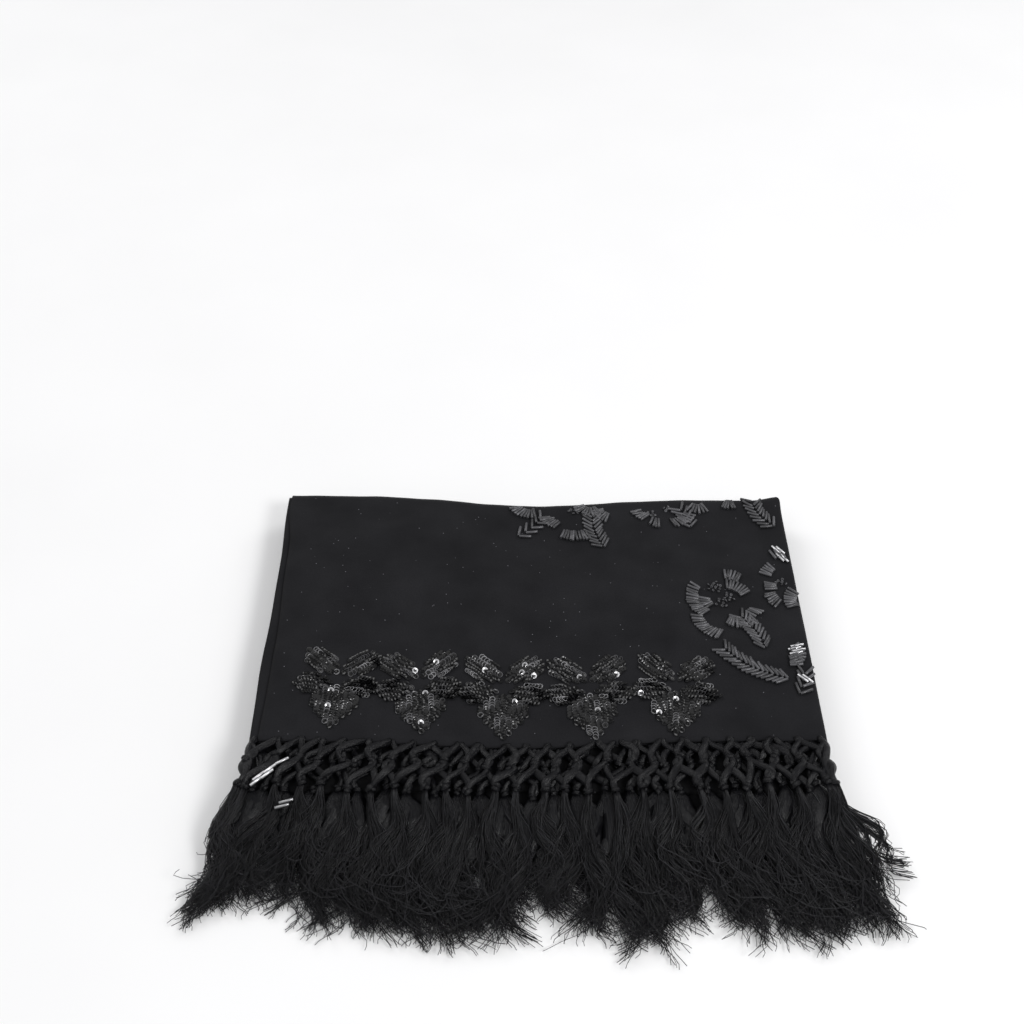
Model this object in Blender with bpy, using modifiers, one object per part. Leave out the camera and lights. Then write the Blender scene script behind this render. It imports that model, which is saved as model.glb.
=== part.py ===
"""An embroidered wool scarf, folded flat, with a double knotted fringe along its front hem.

Run with blender --background --python part.py, or from Blender's text editor. Units are metres, +Z is up.
The scarf lies on the plane z = 0, its front hem faces -Y, and the lengthwise fold of the cloth is at +X.
The origin is the centre of its flat underside. A place in front of the hem is given by its reach, which
is the distance forward of the hem. A place along the fringe is given by its side, from -1 at the left end
to 1 at the right end.
"""

import math
import random

import bmesh
import bpy

# Driving sizes of the folded cloth
STACK_WIDTH = 0.379
STACK_DEPTH = 0.288
CORE_HEIGHT = 0.0259
CORE_TOP_CREST = 0.0008
CLOTH_WALL = 0.0014
SEAM_GAP = 0.0004
CORE_GAP = 0.0005

# The hem of the end panel, set back from the front of the layers under it
HEM_Y = -0.0960
HEM_BOW = 0.0060
HEM_BOW_X = -0.011
HEM_BOW_REACH = 0.08

# The back edge, which is not quite straight
BACK_BOW = 0.0095
BACK_BOW_X = 0.000
BACK_BOW_REACH = 0.070
BACK_SLANT = 0.0060
BACK_CURL_RADIUS = 0.0050
BACK_CURL_TURN = math.radians(80)

# The lengthwise fold and the selvedges of the end panel
FOLD_RADIUS = 0.0021
FOLD_BLEND = 0.022
UPPER_SELVEDGE_X = -0.1815
UNDER_SELVEDGE_X = -0.1880
FOLD_DIP = 0.0016
FOLD_DIP_REACH = 0.036
FOLD_DIP_FULL = 0.016
CORNER_LIFT = 0.0030
CORNER_REACH = 0.012
CORNER_SETTLE = 0.7

# How finely the end panel is drawn
PANEL_STEPS = 12
BLEND_STEPS = 4
FOLD_STEPS = 6
ROW_STEPS = 12
CURL_STEPS = 4

# The layers hidden under the end panel, from the bottom up, and how far each edge of a layer is tucked in
LAYER_COLUMNS = ("left", "right", "front", "back")
LAYERS = (
    (0.0030, 0.0020, 0.0012, 0.0016),
    (0.0012, 0.0006, 0.0024, 0.0004),
    (0.0022, 0.0012, 0.0002, 0.0014),
    (0.0008, 0.0004, 0.0010, 0.0006),
    (0.0018, 0.0014, 0.0050, 0.0018),
    (0.0014, 0.0046, 0.0140, 0.0076),
)
RIDGE_LOW = 0.28
RIDGE_HIGH = 0.74
GROOVE_DEPTH = 0.0013
OUTLINE_CORNER = 0.012
CORNER_STEPS = 4
SIDE_STEPS = 7
TOP_INSETS = (0.0024, 0.010, 0.022, 0.036, 0.052, 0.085, 0.118)

# Soft swells of the stacked cloth: where each is, how wide, and how high
SWELL_COLUMNS = ("x", "y", "reach", "height")
SWELLS = (
    (-0.125, 0.060, 0.060, 0.0008),
    (-0.060, -0.035, 0.055, -0.0007),
    (0.012, 0.045, 0.070, 0.0006),
    (0.075, -0.060, 0.060, 0.0007),
    (0.110, 0.070, 0.055, -0.0008),
    (0.165, -0.020, 0.050, 0.0008),
)

# How the fringe comes down: the height of its underside at each reach from the hem
DRAPE_COLUMNS = ("reach", "height")
DRAPE = (
    (0.000, 0.0252),
    (0.015, 0.0240),
    (0.032, 0.0222),
    (0.044, 0.0186),
    (0.058, 0.0118),
    (0.074, 0.0050),
    (0.090, 0.0018),
    (0.112, 0.0010),
    (0.150, 0.0008),
)
DRAPE_ROUNDING = 0.008
CORE_UNDER_DRAPE = 0.0006

# The fringe, and how it fans out to both sides
BUNDLES = 26
FRINGE_LEFT_X = -0.1840
FRINGE_RIGHT_X = 0.1840
FAN_LEFT = -0.030
FAN_RIGHT = 0.041
FAN_REACH = 0.120
FAN_POWER = 0.80
FAN_SIDE_POWER = 1.7
KNOT_REACH_1 = 0.0155
KNOT_REACH_2 = 0.0320
NET_BAR = 0.0018
NET_KNOT = 0.0048
NET_ARCH_SHARE = 0.2
NET_ARCH_WIDTH = 0.22
NET_ARCH_REACH = 0.55
NET_SIDE_OUT = 0.10
NET_FIRST_STEP = 0.0009
NET_UNEVEN_X = 0.0011
NET_UNEVEN_REACH = 0.0014
TIP_REACH = 0.126
TIP_SPREAD = 0.011
SIDE_SHORTENING = 0.020
LOCK_STEPS = 5
LOCK_SIDES = 3
LOCK_ROOT_RADIUS = 0.0013
LOCK_RADIUS = 0.0019
LOCK_TIP_RADIUS = 0.0008
LOCK_FULL_SHARE = 0.33
LOCK_THINNING_SHARE = 0.55
LOCK_ROOT_ASIDE = 0.0009
LOCK_MORE_ASIDE = 0.0036
LOCK_ASIDE_SHARE = 0.62
LOCK_LEAN = 0.0006
LOCK_UNEVEN = 0.004
LOCK_SINK = 0.25
WAVE_HEIGHT = 0.0040
WAVE_TURNS = 1.3
WAVE_SHIFT = 23.0

# The two fringes: the locks of each tassel, how high the fringe lies on what is under it, and where it starts
FRINGE_COLUMNS = ("name", "bundles", "locks", "lift", "hem_height", "shorter", "seed")
FRINGES = (
    ("under_fringe", BUNDLES - 1, 2, 0.0000, 0.0268, 0.006, 5),
    ("upper_fringe", BUNDLES, 3, 0.0052, 0.0293, 0.000, 11),
)

WOOL_BLACK = (0.0130, 0.0130, 0.0150, 1.0)
SILK_BLACK = (0.0160, 0.0160, 0.0180, 1.0)


def rows(columns, table):
    """The rows of a table, each as a dictionary by column name."""
    return [dict(zip(columns, row)) for row in table]


def smooth(t):
    """A smooth step from 0 to 1 as t goes from 0 to 1."""
    t = min(1.0, max(0.0, t))
    return t * t * (3 - 2 * t)


def bell(distance, reach):
    """A rounded bump that is 1 in its middle."""
    return math.exp(-((distance / reach) ** 2))


def clear_scene():
    for item in list(bpy.data.objects):
        bpy.data.objects.remove(item, do_unlink=True)


def new_collection(name):
    collection = bpy.data.collections.new(name)
    bpy.context.scene.collection.children.link(collection)
    return collection


def new_material(name, colour, roughness):
    material = bpy.data.materials.new(name)
    material.use_nodes = True
    shader = material.node_tree.nodes["Principled BSDF"]
    shader.inputs["Base Color"].default_value = colour
    shader.inputs["Roughness"].default_value = roughness
    shader.inputs["Metallic"].default_value = 0.0
    return material


def mesh_object(name, points, faces, collection, material=None):
    mesh = bpy.data.meshes.new(name)
    mesh.from_pydata(points, [], faces)
    mesh.validate()
    piece = bpy.data.objects.new(name, mesh)
    collection.objects.link(piece)
    if material:
        mesh.materials.append(material)
    return piece


def face_outwards(piece):
    """Merges the piece's doubles and turns its faces outwards."""
    shape = bmesh.new()
    shape.from_mesh(piece.data)
    bmesh.ops.remove_doubles(shape, verts=shape.verts, dist=1e-6)
    bmesh.ops.recalc_face_normals(shape, faces=shape.faces)
    shape.to_mesh(piece.data)
    shape.free()


def back_edge(x):
    """Where the back edge of the stack lies at x."""
    slant = BACK_SLANT * (0.5 + x / STACK_WIDTH)
    return STACK_DEPTH / 2 - BACK_BOW * bell(x - BACK_BOW_X, BACK_BOW_REACH) - slant


def hem_edge(x):
    """Where the front hem of the end panel lies at x."""
    return HEM_Y - HEM_BOW * bell(x - HEM_BOW_X, HEM_BOW_REACH)


def relief(x, y):
    """The height that the soft swells of the cloth add at a place."""
    total = 0.0
    for swell in rows(SWELL_COLUMNS, SWELLS):
        total += swell["height"] * bell(math.hypot(x - swell["x"], y - swell["y"]), swell["reach"])
    return total


def drape_level(reach):
    """The height of the underside of the fringe, read straight from its table."""
    table = rows(DRAPE_COLUMNS, DRAPE)
    for near, far in zip(table, table[1:]):
        if reach <= far["reach"]:
            share = (reach - near["reach"]) / (far["reach"] - near["reach"])
            return near["height"] + (far["height"] - near["height"]) * share
    return table[-1]["height"]


def drape_height(reach):
    """The same height with its corners rounded, as the mean of the heights close by."""
    near_by = [reach + DRAPE_ROUNDING * step / 3 for step in range(-3, 4)]
    return sum(drape_level(max(0.0, place)) for place in near_by) / len(near_by)


def drape_slope(reach):
    """The angle at which the fringe comes down, below the horizontal."""
    step = 0.002
    return math.atan2(drape_height(reach - step) - drape_height(reach + step), 2 * step)


def stack_top(x, y):
    """The height on which the end panel lies."""
    return CORE_HEIGHT + relief(x, y)


def core_top(x, y):
    """The height of the hidden layers' upper face, which dips under the fold and slopes down at the front."""
    past_start = x - (STACK_WIDTH / 2 - FOLD_DIP_REACH)
    level = stack_top(x, y) - FOLD_DIP * smooth(past_start / FOLD_DIP_FULL)
    reach = hem_edge(x) - y
    if reach <= 0:
        return level
    return min(level, drape_height(reach) - CORE_UNDER_DRAPE)


def outline(inset):
    """The outline of a layer as (x, y) points: a rounded rectangle with four insets and a bowed back edge."""
    left = -STACK_WIDTH / 2 + inset["left"]
    right = STACK_WIDTH / 2 - inset["right"]
    front = -STACK_DEPTH / 2 + inset["front"]
    back = STACK_DEPTH / 2 - inset["back"]
    radius = min(OUTLINE_CORNER, (right - left) / 3, (back - front) / 3)
    corners = (
        (right - radius, back - radius, 0),
        (left + radius, back - radius, 90),
        (left + radius, front + radius, 180),
        (right - radius, front + radius, 270),
    )
    points = []
    for number, (cx, cy, start) in enumerate(corners):
        for step in range(CORNER_STEPS + 1):
            angle = math.radians(start + 90 * step / CORNER_STEPS)
            points.append((cx + radius * math.cos(angle), cy + radius * math.sin(angle)))
        after = corners[(number + 1) % 4]
        end_angle = math.radians(after[2])
        end = (after[0] + radius * math.cos(end_angle), after[1] + radius * math.sin(end_angle))
        begin = points[-1]
        for step in range(1, SIDE_STEPS):
            share = step / SIDE_STEPS
            points.append((begin[0] + (end[0] - begin[0]) * share, begin[1] + (end[1] - begin[1]) * share))
    bowed = []
    for x, y in points:
        if y > 0:
            y *= back_edge(x) / (STACK_DEPTH / 2)
        bowed.append((x, y))
    return bowed


def drawn_in(layer, more):
    """The insets of a layer, all drawn in by the same amount."""
    return {side: layer[side] + more for side in LAYER_COLUMNS}


def folded_layers(collection, material):
    """The layers hidden under the end panel: one rounded solid, with a ridge round it for each layer."""
    layers = rows(LAYER_COLUMNS, LAYERS)
    height = CORE_HEIGHT / len(layers)
    sections = [(0.0, drawn_in(layers[0], GROOVE_DEPTH))]
    for number, layer in enumerate(layers):
        low = number * height
        sections.append((low + RIDGE_LOW * height, drawn_in(layer, 0.0)))
        sections.append((low + RIDGE_HIGH * height, drawn_in(layer, 0.0)))
        if number + 1 < len(layers):
            above = layers[number + 1]
            deeper = {side: max(layer[side], above[side]) for side in LAYER_COLUMNS}
            sections.append((low + height, drawn_in(deeper, GROOVE_DEPTH)))
    points, faces = [], []
    for z, inset in sections:
        for x, y in outline(inset):
            points.append((x, y, min(z, core_top(x, y) - CORE_TOP_CREST) if z > 0 else 0.0))
    for inset in TOP_INSETS:
        for x, y in outline(drawn_in(layers[-1], inset)):
            points.append((x, y, core_top(x, y)))
    count = len(outline(layers[0]))
    rings = len(sections) + len(TOP_INSETS)
    for ring in range(rings - 1):
        for step in range(count):
            beside = (step + 1) % count
            low, high = ring * count, (ring + 1) * count
            faces.append((low + step, low + beside, high + beside, high + step))
    faces.append(tuple(reversed(range(count))))
    faces.append(tuple(range((rings - 1) * count, rings * count)))
    piece = mesh_object("folded_layers", points, faces, collection, material)
    face_outwards(piece)
    piece.data.set_sharp_from_angle(angle=math.radians(50))
    return piece


def panel_path():
    """The end panel's section across the scarf, as (x, height over the core): upper half, fold, under."""
    under = CORE_GAP + CLOTH_WALL / 2
    upper = under + CLOTH_WALL + SEAM_GAP
    middle = (upper + under) / 2
    fold_x = STACK_WIDTH / 2 - FOLD_RADIUS - CLOTH_WALL / 2

    def opened(x, offset):
        """The two halves part a little towards the fold, to go round it."""
        share = smooth((x - (fold_x - FOLD_BLEND)) / FOLD_BLEND)
        spread = FOLD_RADIUS if offset > middle else -FOLD_RADIUS
        return offset + (middle + spread - offset) * share

    path = []
    for step in range(PANEL_STEPS + 1):
        x = UPPER_SELVEDGE_X + (fold_x - FOLD_BLEND - UPPER_SELVEDGE_X) * step / PANEL_STEPS
        path.append((x, upper))
    for step in range(1, BLEND_STEPS):
        x = fold_x - FOLD_BLEND + FOLD_BLEND * step / BLEND_STEPS
        path.append((x, opened(x, upper)))
    for step in range(FOLD_STEPS + 1):
        angle = math.radians(90 - 180 * step / FOLD_STEPS)
        path.append((fold_x + FOLD_RADIUS * math.cos(angle), middle + FOLD_RADIUS * math.sin(angle)))
    for step in range(BLEND_STEPS - 1, 0, -1):
        x = fold_x - FOLD_BLEND + FOLD_BLEND * step / BLEND_STEPS
        path.append((x, opened(x, under)))
    for step in range(PANEL_STEPS + 1):
        x = fold_x - FOLD_BLEND + (UNDER_SELVEDGE_X - fold_x + FOLD_BLEND) * step / PANEL_STEPS
        path.append((x, under))
    return path


def panel_point(x, offset, along):
    """A point of the end panel. along runs from 0 at the hem to 1 at the back, then to 2 round the curl."""
    outer = CORE_GAP + 2 * CLOTH_WALL + SEAM_GAP
    back = back_edge(x) - outer - BACK_CURL_RADIUS
    front = hem_edge(x)
    flat = min(along, 1.0)
    y = front + (back - front) * flat
    z = stack_top(x, y)
    turn = BACK_CURL_TURN * max(0.0, along - 1.0)
    radius = BACK_CURL_RADIUS + offset
    y += radius * math.sin(turn)
    z += radius * math.cos(turn) - BACK_CURL_RADIUS
    corner = math.hypot(x - STACK_WIDTH / 2, y - back_edge(STACK_WIDTH / 2))
    z += CORNER_LIFT * bell(corner, CORNER_REACH) * (1.0 - CORNER_SETTLE * max(0.0, along - 1.0))
    return (x, y, z)


def end_panel(collection, material):
    """The last stretch of the scarf: two halves joined by a lengthwise fold, which curl down at the back."""
    path = panel_path()
    alongs = [step / ROW_STEPS for step in range(ROW_STEPS + 1)]
    alongs += [1.0 + step / CURL_STEPS for step in range(1, CURL_STEPS + 1)]
    points = [panel_point(x, offset, along) for along in alongs for x, offset in path]
    count = len(path)
    faces = []
    for row in range(len(alongs) - 1):
        for step in range(count - 1):
            here = row * count + step
            faces.append((here, here + 1, here + count + 1, here + count))
    piece = mesh_object("end_panel", points, faces, collection, material)
    wall = piece.modifiers.new("cloth_wall", "SOLIDIFY")
    wall.thickness = CLOTH_WALL
    wall.offset = 0.0
    wall.use_even_offset = False
    piece.data.shade_smooth()
    piece.data.set_sharp_from_angle(angle=math.radians(50))
    return piece


def fringe_side(x):
    """How far along the fringe a bundle is, from -1 at the left end to 1 at the right end."""
    return 2 * (x - FRINGE_LEFT_X) / (FRINGE_RIGHT_X - FRINGE_LEFT_X) - 1


def fanned(x, reach):
    """Where a bundle that leaves the hem at x lies at a reach, as the fringe fans out."""
    side = fringe_side(x)
    spread = FAN_RIGHT if side > 0 else FAN_LEFT
    return x + spread * abs(side) ** FAN_SIDE_POWER * max(0.0, reach / FAN_REACH) ** FAN_POWER


def fringe_point(x, reach, lift):
    """A point on the middle of a fringe, from x at the hem, its reach, and its lift square to the drape."""
    slope = drape_slope(reach)
    y = hem_edge(x) - reach - lift * math.sin(slope)
    return (fanned(x, reach), y, drape_height(reach) + lift * math.cos(slope))


def bundle_xs(count):
    """Where each bundle is hitched through the hem."""
    pitch = (FRINGE_RIGHT_X - FRINGE_LEFT_X) / (BUNDLES - 1)
    middle = (FRINGE_LEFT_X + FRINGE_RIGHT_X) / 2
    return [middle + (number - (count - 1) / 2) * pitch for number in range(count)]


def knotted_net(fringe, xs, chance):
    """The open surface of the knotted heading: a row of arches along the hem, and a row of lozenges below.

    It returns the points, the faces, and how thick the net is at each point, from 0 for a bar to 1 for a
    knot.
    """
    points, faces, thickness = [], [], []
    centre = NET_KNOT / 2

    def add(x, reach, share):
        aside = chance.uniform(-NET_UNEVEN_X, NET_UNEVEN_X)
        further = chance.uniform(0.0, NET_UNEVEN_REACH)
        settle = smooth(reach / KNOT_REACH_1)
        x, y, z = fringe_point(x + aside, reach + further, (centre + fringe["lift"]) * settle)
        z += (fringe["hem_height"] - drape_height(reach)) * (1 - settle)
        points.append((x, y, z))
        thickness.append(share)
        return len(points) - 1

    pitch = xs[1] - xs[0]
    first_reach = NET_FIRST_STEP + NET_BAR / 2
    hems = [add(x, first_reach, 0.0) for x in xs]
    knots = [add(x + pitch / 2, KNOT_REACH_1, 1.0) for x in xs[:-1]]
    lows = [add(x, KNOT_REACH_2, 1.0) for x in xs]
    arch = NET_ARCH_REACH * KNOT_REACH_1
    right_sides = [add(x + pitch * NET_ARCH_WIDTH, arch, NET_ARCH_SHARE) for x in xs[:-1]]
    left_sides = [add(x - pitch * NET_ARCH_WIDTH, arch, NET_ARCH_SHARE) for x in xs[1:]]
    first_side = add(xs[0] - pitch * NET_SIDE_OUT, KNOT_REACH_1, NET_ARCH_SHARE)
    last_side = add(xs[-1] + pitch * NET_SIDE_OUT, KNOT_REACH_1, NET_ARCH_SHARE)
    for n in range(len(xs) - 1):
        faces.append((hems[n], right_sides[n], knots[n], left_sides[n], hems[n + 1]))
    for n in range(1, len(xs) - 1):
        faces.append((hems[n], left_sides[n - 1], knots[n - 1], lows[n], knots[n], right_sides[n]))
    faces.append((hems[0], first_side, lows[0], knots[0], right_sides[0]))
    faces.append((hems[-1], left_sides[-1], knots[-1], lows[-1], last_side))
    return points, faces, thickness


def lock_path(fringe, x, across, length, chance):
    """The middle line of one lock of a tassel, from its knot to its tip, as (point, radius) pairs.

    across is the lock's place in its tassel, from -1 to 1. Locks side by side wave together, so they stay
    apart.
    """
    path = []
    lean = chance.uniform(-LOCK_LEAN, LOCK_LEAN)
    for step in range(LOCK_STEPS + 1):
        share = step / LOCK_STEPS
        filled = smooth(share / LOCK_FULL_SHARE)
        thinned = smooth((share - LOCK_THINNING_SHARE) / (1 - LOCK_THINNING_SHARE))
        reach = KNOT_REACH_2 + (length - KNOT_REACH_2) * share
        wave = WAVE_HEIGHT * share * math.sin(math.tau * WAVE_TURNS * share + WAVE_SHIFT * x)
        aside = across * (LOCK_ROOT_ASIDE + LOCK_MORE_ASIDE * smooth(share / LOCK_ASIDE_SHARE)) + lean * share
        radius = LOCK_ROOT_RADIUS + (LOCK_RADIUS - LOCK_ROOT_RADIUS) * filled
        radius += (LOCK_TIP_RADIUS - LOCK_RADIUS) * thinned
        root_lift = (NET_KNOT / 2 - LOCK_RADIUS) * (1 - filled)
        lift = fringe["lift"] * (1 - LOCK_SINK * thinned)
        px, y, z = fringe_point(x, reach, lift + LOCK_RADIUS + root_lift)
        path.append(((px + wave + aside, y, z), radius))
    return path


def lock_tubes(name, paths, collection):
    """Every lock of a fringe as one mesh of closed three-sided tubes, a shape to be joined to the net."""
    section = bpy.data.curves.new(name + "_section", "CURVE")
    section.dimensions = "2D"
    loop = section.splines.new("POLY")
    loop.points.add(LOCK_SIDES - 1)
    for number, point in enumerate(loop.points):
        angle = math.radians(90 + 360 * number / LOCK_SIDES)
        point.co = (math.cos(angle), math.sin(angle), 0.0, 1.0)
    loop.use_cyclic_u = True
    section_object = bpy.data.objects.new(name + "_section", section)
    collection.objects.link(section_object)
    curve = bpy.data.curves.new(name, "CURVE")
    curve.dimensions = "3D"
    curve.bevel_mode = "OBJECT"
    curve.bevel_object = section_object
    curve.use_fill_caps = True
    curve.twist_mode = "Z_UP"
    for path in paths:
        spline = curve.splines.new("POLY")
        spline.points.add(len(path) - 1)
        for point, (place, radius) in zip(spline.points, path):
            point.co = (*place, 1.0)
            point.radius = radius
    lines = bpy.data.objects.new(name + "_lines", curve)
    collection.objects.link(lines)
    bpy.context.view_layer.update()
    evaluated = lines.evaluated_get(bpy.context.evaluated_depsgraph_get())
    mesh = bpy.data.meshes.new_from_object(evaluated)
    tubes = bpy.data.objects.new(name, mesh)
    collection.objects.link(tubes)
    tubes.matrix_world = lines.matrix_world
    bpy.data.objects.remove(lines)
    bpy.data.objects.remove(section_object)
    face_outwards(tubes)
    tubes.hide_render = True
    tubes.display_type = "WIRE"
    return tubes


def build_fringe(fringe, collection, cutters, material):
    """One fringe: a knotted net along the hem, with the locks of each tassel joined to its lowest knots."""
    chance = random.Random(fringe["seed"])
    xs = bundle_xs(fringe["bundles"])
    points, faces, thickness = knotted_net(fringe, xs, chance)
    piece = mesh_object(fringe["name"], points, faces, collection, material)
    group = piece.vertex_groups.new(name="knots")
    for number, share in enumerate(thickness):
        group.add([number], share, "REPLACE")
    net = piece.modifiers.new("knotted_net", "WIREFRAME")
    net.thickness = NET_KNOT
    net.use_boundary = True
    net.use_replace = True
    net.use_even_offset = False
    net.vertex_group = group.name
    net.thickness_vertex_group = NET_BAR / NET_KNOT
    paths = []
    for x in xs:
        length = TIP_REACH - fringe["shorter"] - SIDE_SHORTENING * fringe_side(x) ** 4
        length += chance.uniform(-TIP_SPREAD, TIP_SPREAD)
        for number in range(fringe["locks"]):
            across = 2 * number / (fringe["locks"] - 1) - 1
            lock_length = length + chance.uniform(-LOCK_UNEVEN, LOCK_UNEVEN)
            paths.append(lock_path(fringe, x, across, lock_length, chance))
    tubes = lock_tubes(fringe["name"] + "_locks", paths, cutters)
    join = piece.modifiers.new("tassel_locks", "BOOLEAN")
    join.operation = "UNION"
    join.solver = "EXACT"
    join.object = tubes
    join.use_self = True
    return piece


def main():
    clear_scene()
    scarf = new_collection("folded_wool_scarf")
    cutters = new_collection("joined_shapes")
    wool = new_material("black_wool", WOOL_BLACK, 0.85)
    silk = new_material("black_silk", SILK_BLACK, 0.55)
    folded_layers(scarf, wool)
    end_panel(scarf, wool)
    for fringe in rows(FRINGE_COLUMNS, FRINGES):
        build_fringe(fringe, scarf, cutters, silk)


main()
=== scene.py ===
# %% [markdown]
# # A folded wool scarf with a knotted silk fringe
#
# The real thing is a large evening scarf of fine black wool, folded flat with one end on top. Flowers in
# overlapping black sequins stand in a row above its hem, sprays of long glass beads lie along the fold and
# the back, and bundles of silk thread are hitched through the hem, knotted twice and left hanging. This
# script dresses the plain solids of the part with cloth, beads, knots and threads. It begins by loading
# those solids, which stay where they are and say how large everything is.

import math

import bpy
import numpy as np
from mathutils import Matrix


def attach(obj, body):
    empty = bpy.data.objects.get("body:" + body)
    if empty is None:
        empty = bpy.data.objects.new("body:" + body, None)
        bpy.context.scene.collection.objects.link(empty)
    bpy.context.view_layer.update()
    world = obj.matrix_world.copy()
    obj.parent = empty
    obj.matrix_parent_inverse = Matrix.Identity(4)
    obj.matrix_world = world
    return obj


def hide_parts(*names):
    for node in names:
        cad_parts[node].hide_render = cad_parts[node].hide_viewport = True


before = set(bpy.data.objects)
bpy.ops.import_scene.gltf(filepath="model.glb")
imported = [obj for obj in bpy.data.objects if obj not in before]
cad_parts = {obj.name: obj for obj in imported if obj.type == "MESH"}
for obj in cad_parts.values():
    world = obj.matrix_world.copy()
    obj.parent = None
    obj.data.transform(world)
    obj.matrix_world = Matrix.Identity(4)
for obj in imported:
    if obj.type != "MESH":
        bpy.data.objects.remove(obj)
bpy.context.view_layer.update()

# %% [markdown]
# ## Camera
#
# The scarf is seen from in front and from above. A camera is placed first, because it decides which pieces
# need the most detail. The focal length and the angle were worked out from the converging side edges of the
# folded cloth. They give a view 43.6 degrees below the horizontal, as through a short portrait lens.

# %% Place the camera
VIEW_PITCH = math.radians(43.6)
VIEW_PLACE = (-0.0165, -0.654, 0.7664)
SENSOR_MM = 36.0
IMAGE_PIXELS = 1024
FOCAL_PIXELS = 1400
scene = bpy.context.scene


def new_object(name, data):
    """An object with its data, added to the scene."""
    added = bpy.data.objects.new(name, data)
    scene.collection.objects.link(added)
    return added


camera = new_object("camera", bpy.data.cameras.new("camera"))
camera.data.sensor_width = SENSOR_MM
camera.data.sensor_fit = "HORIZONTAL"
camera.data.lens = SENSOR_MM * FOCAL_PIXELS / IMAGE_PIXELS
camera.location = VIEW_PLACE
camera.rotation_euler = (math.pi / 2 - VIEW_PITCH, 0.0, 0.0)
bpy.context.scene.camera = camera
print("lens in millimetres:", round(camera.data.lens, 1))

# %% [markdown]
# ## From arrays to meshes
#
# Cloth, beads and threads are all surfaces that a formula can give: a point for each pair of parameters.
# Numpy works out all the points of a piece at once, which is much quicker than a Python loop over them. The
# helpers below turn such arrays into a mesh, and hand the finished piece to the part's single body.

# %% Helpers for meshes
TAU = 2 * math.pi
MILLIMETRE = 0.001


def side_by_side(*values):
    """The values as one array, with a last axis for what comes from each of them."""
    return np.stack(np.broadcast_arrays(*values), axis=-1)


def round_circle(corners):
    """The angles of so many corners, evenly spaced round a circle."""
    return TAU * np.arange(corners) / corners


def arch(share):
    """Half a sine wave: 0 at both ends and 1 in the middle."""
    return np.sin(math.pi * share)


def grid_faces(rows, columns, closed=False):
    """The four-cornered faces of a grid kept row by row. closed joins its last column to its first."""
    row = np.arange(rows - 1)[:, None]
    column = np.arange(columns if closed else columns - 1)[None, :]
    beside = (column + 1) % columns
    here, onward = row * columns, (row + 1) * columns
    return side_by_side(here + column, here + beside, onward + beside, onward + column).reshape(-1, 4)


def mesh_piece(name, points, face_groups, material, uvs=None, tints=None):
    """A piece of the scarf. uvs has one pair for each corner of each face, tints one value for each point."""
    mesh = bpy.data.meshes.new(name)
    faces = [face for group in face_groups for face in group.tolist()]
    mesh.from_pydata(points.reshape(-1, 3).tolist(), [], faces)
    mesh.shade_smooth()
    mesh.materials.append(material)
    if uvs is not None:
        mesh.uv_layers.new(name="UVMap").data.foreach_set("uv", np.asarray(uvs, np.float32).ravel())
    if tints is not None:
        attribute = mesh.attributes.new("tint", "FLOAT", "POINT")
        attribute.data.foreach_set("value", np.asarray(tints, np.float32).ravel())
    piece = new_object(name, mesh)
    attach(piece, "root")
    triangles = sum(len(face) - 2 for face in faces)
    print(f"{name}: {triangles} triangles")
    return piece


# %% [markdown]
# ## How the stack lies
#
# The folded cloth is not quite a block: its back edge is bowed, its hem bows forward, and the whole stack
# swells and sinks by a millimetre. In front of the hem the fringe slopes down over the lower layers to the
# surface that the scarf lies on. The same named sizes shape the solids, so the cloth made here rests on them.

# %% Shape of the stack
STACK_WIDTH = 0.379
STACK_DEPTH = 0.288
CORE_HEIGHT = 0.0259
HEM_Y = -0.0960
HEM_BOW = 0.0060
HEM_BOW_X = -0.011
HEM_BOW_REACH = 0.08
BACK_BOW = 0.0095
BACK_BOW_REACH = 0.070
BACK_SLANT = 0.0060
# Each swell: x, y, how far it reaches and how high it is, in metres.
SWELLS = (
    (-0.125, 0.060, 0.060, 0.0008), (-0.060, -0.035, 0.055, -0.0007), (0.012, 0.045, 0.070, 0.0006),
    (0.075, -0.060, 0.060, 0.0007), (0.110, 0.070, 0.055, -0.0008), (0.165, -0.020, 0.050, 0.0008),
)


def smooth(t):
    """A smooth step: 3 t squared less 2 t cubed, with t kept from 0 to 1."""
    t = np.clip(t, 0.0, 1.0)
    return t * t * (3 - 2 * t)


def bell(distance, reach):
    """A rounded bump: e to the power of minus the square of distance over reach."""
    return np.exp(-((distance / reach) ** 2))


def back_edge(x):
    """Where the back edge lies: half the depth, less the bow in its middle, less the slant to the right."""
    return STACK_DEPTH / 2 - BACK_BOW * bell(x, BACK_BOW_REACH) - BACK_SLANT * (0.5 + x / STACK_WIDTH)


def hem_edge(x):
    """Where the hem lies: a straight line less the bow in its middle."""
    return HEM_Y - HEM_BOW * bell(x - HEM_BOW_X, HEM_BOW_REACH)


def stack_top(x, y):
    """The height that the end panel lies on: the core's height and the sum of the soft swells."""
    total = CORE_HEIGHT
    for swell_x, swell_y, reach, height in SWELLS:
        total = total + height * bell(np.hypot(x - swell_x, y - swell_y), reach)
    return total


# %% [markdown]
# ## How the fringe comes down
#
# The fringe leaves the hem level, bends over the front of the lower layers and lies on the surface for its
# last few centimetres. A short table of heights, rounded by averaging, gives the slope. Everything on the
# fringe is placed by three numbers: where its bundle leaves the hem, how far forward it is, and how high it
# lies square to the slope.

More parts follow.
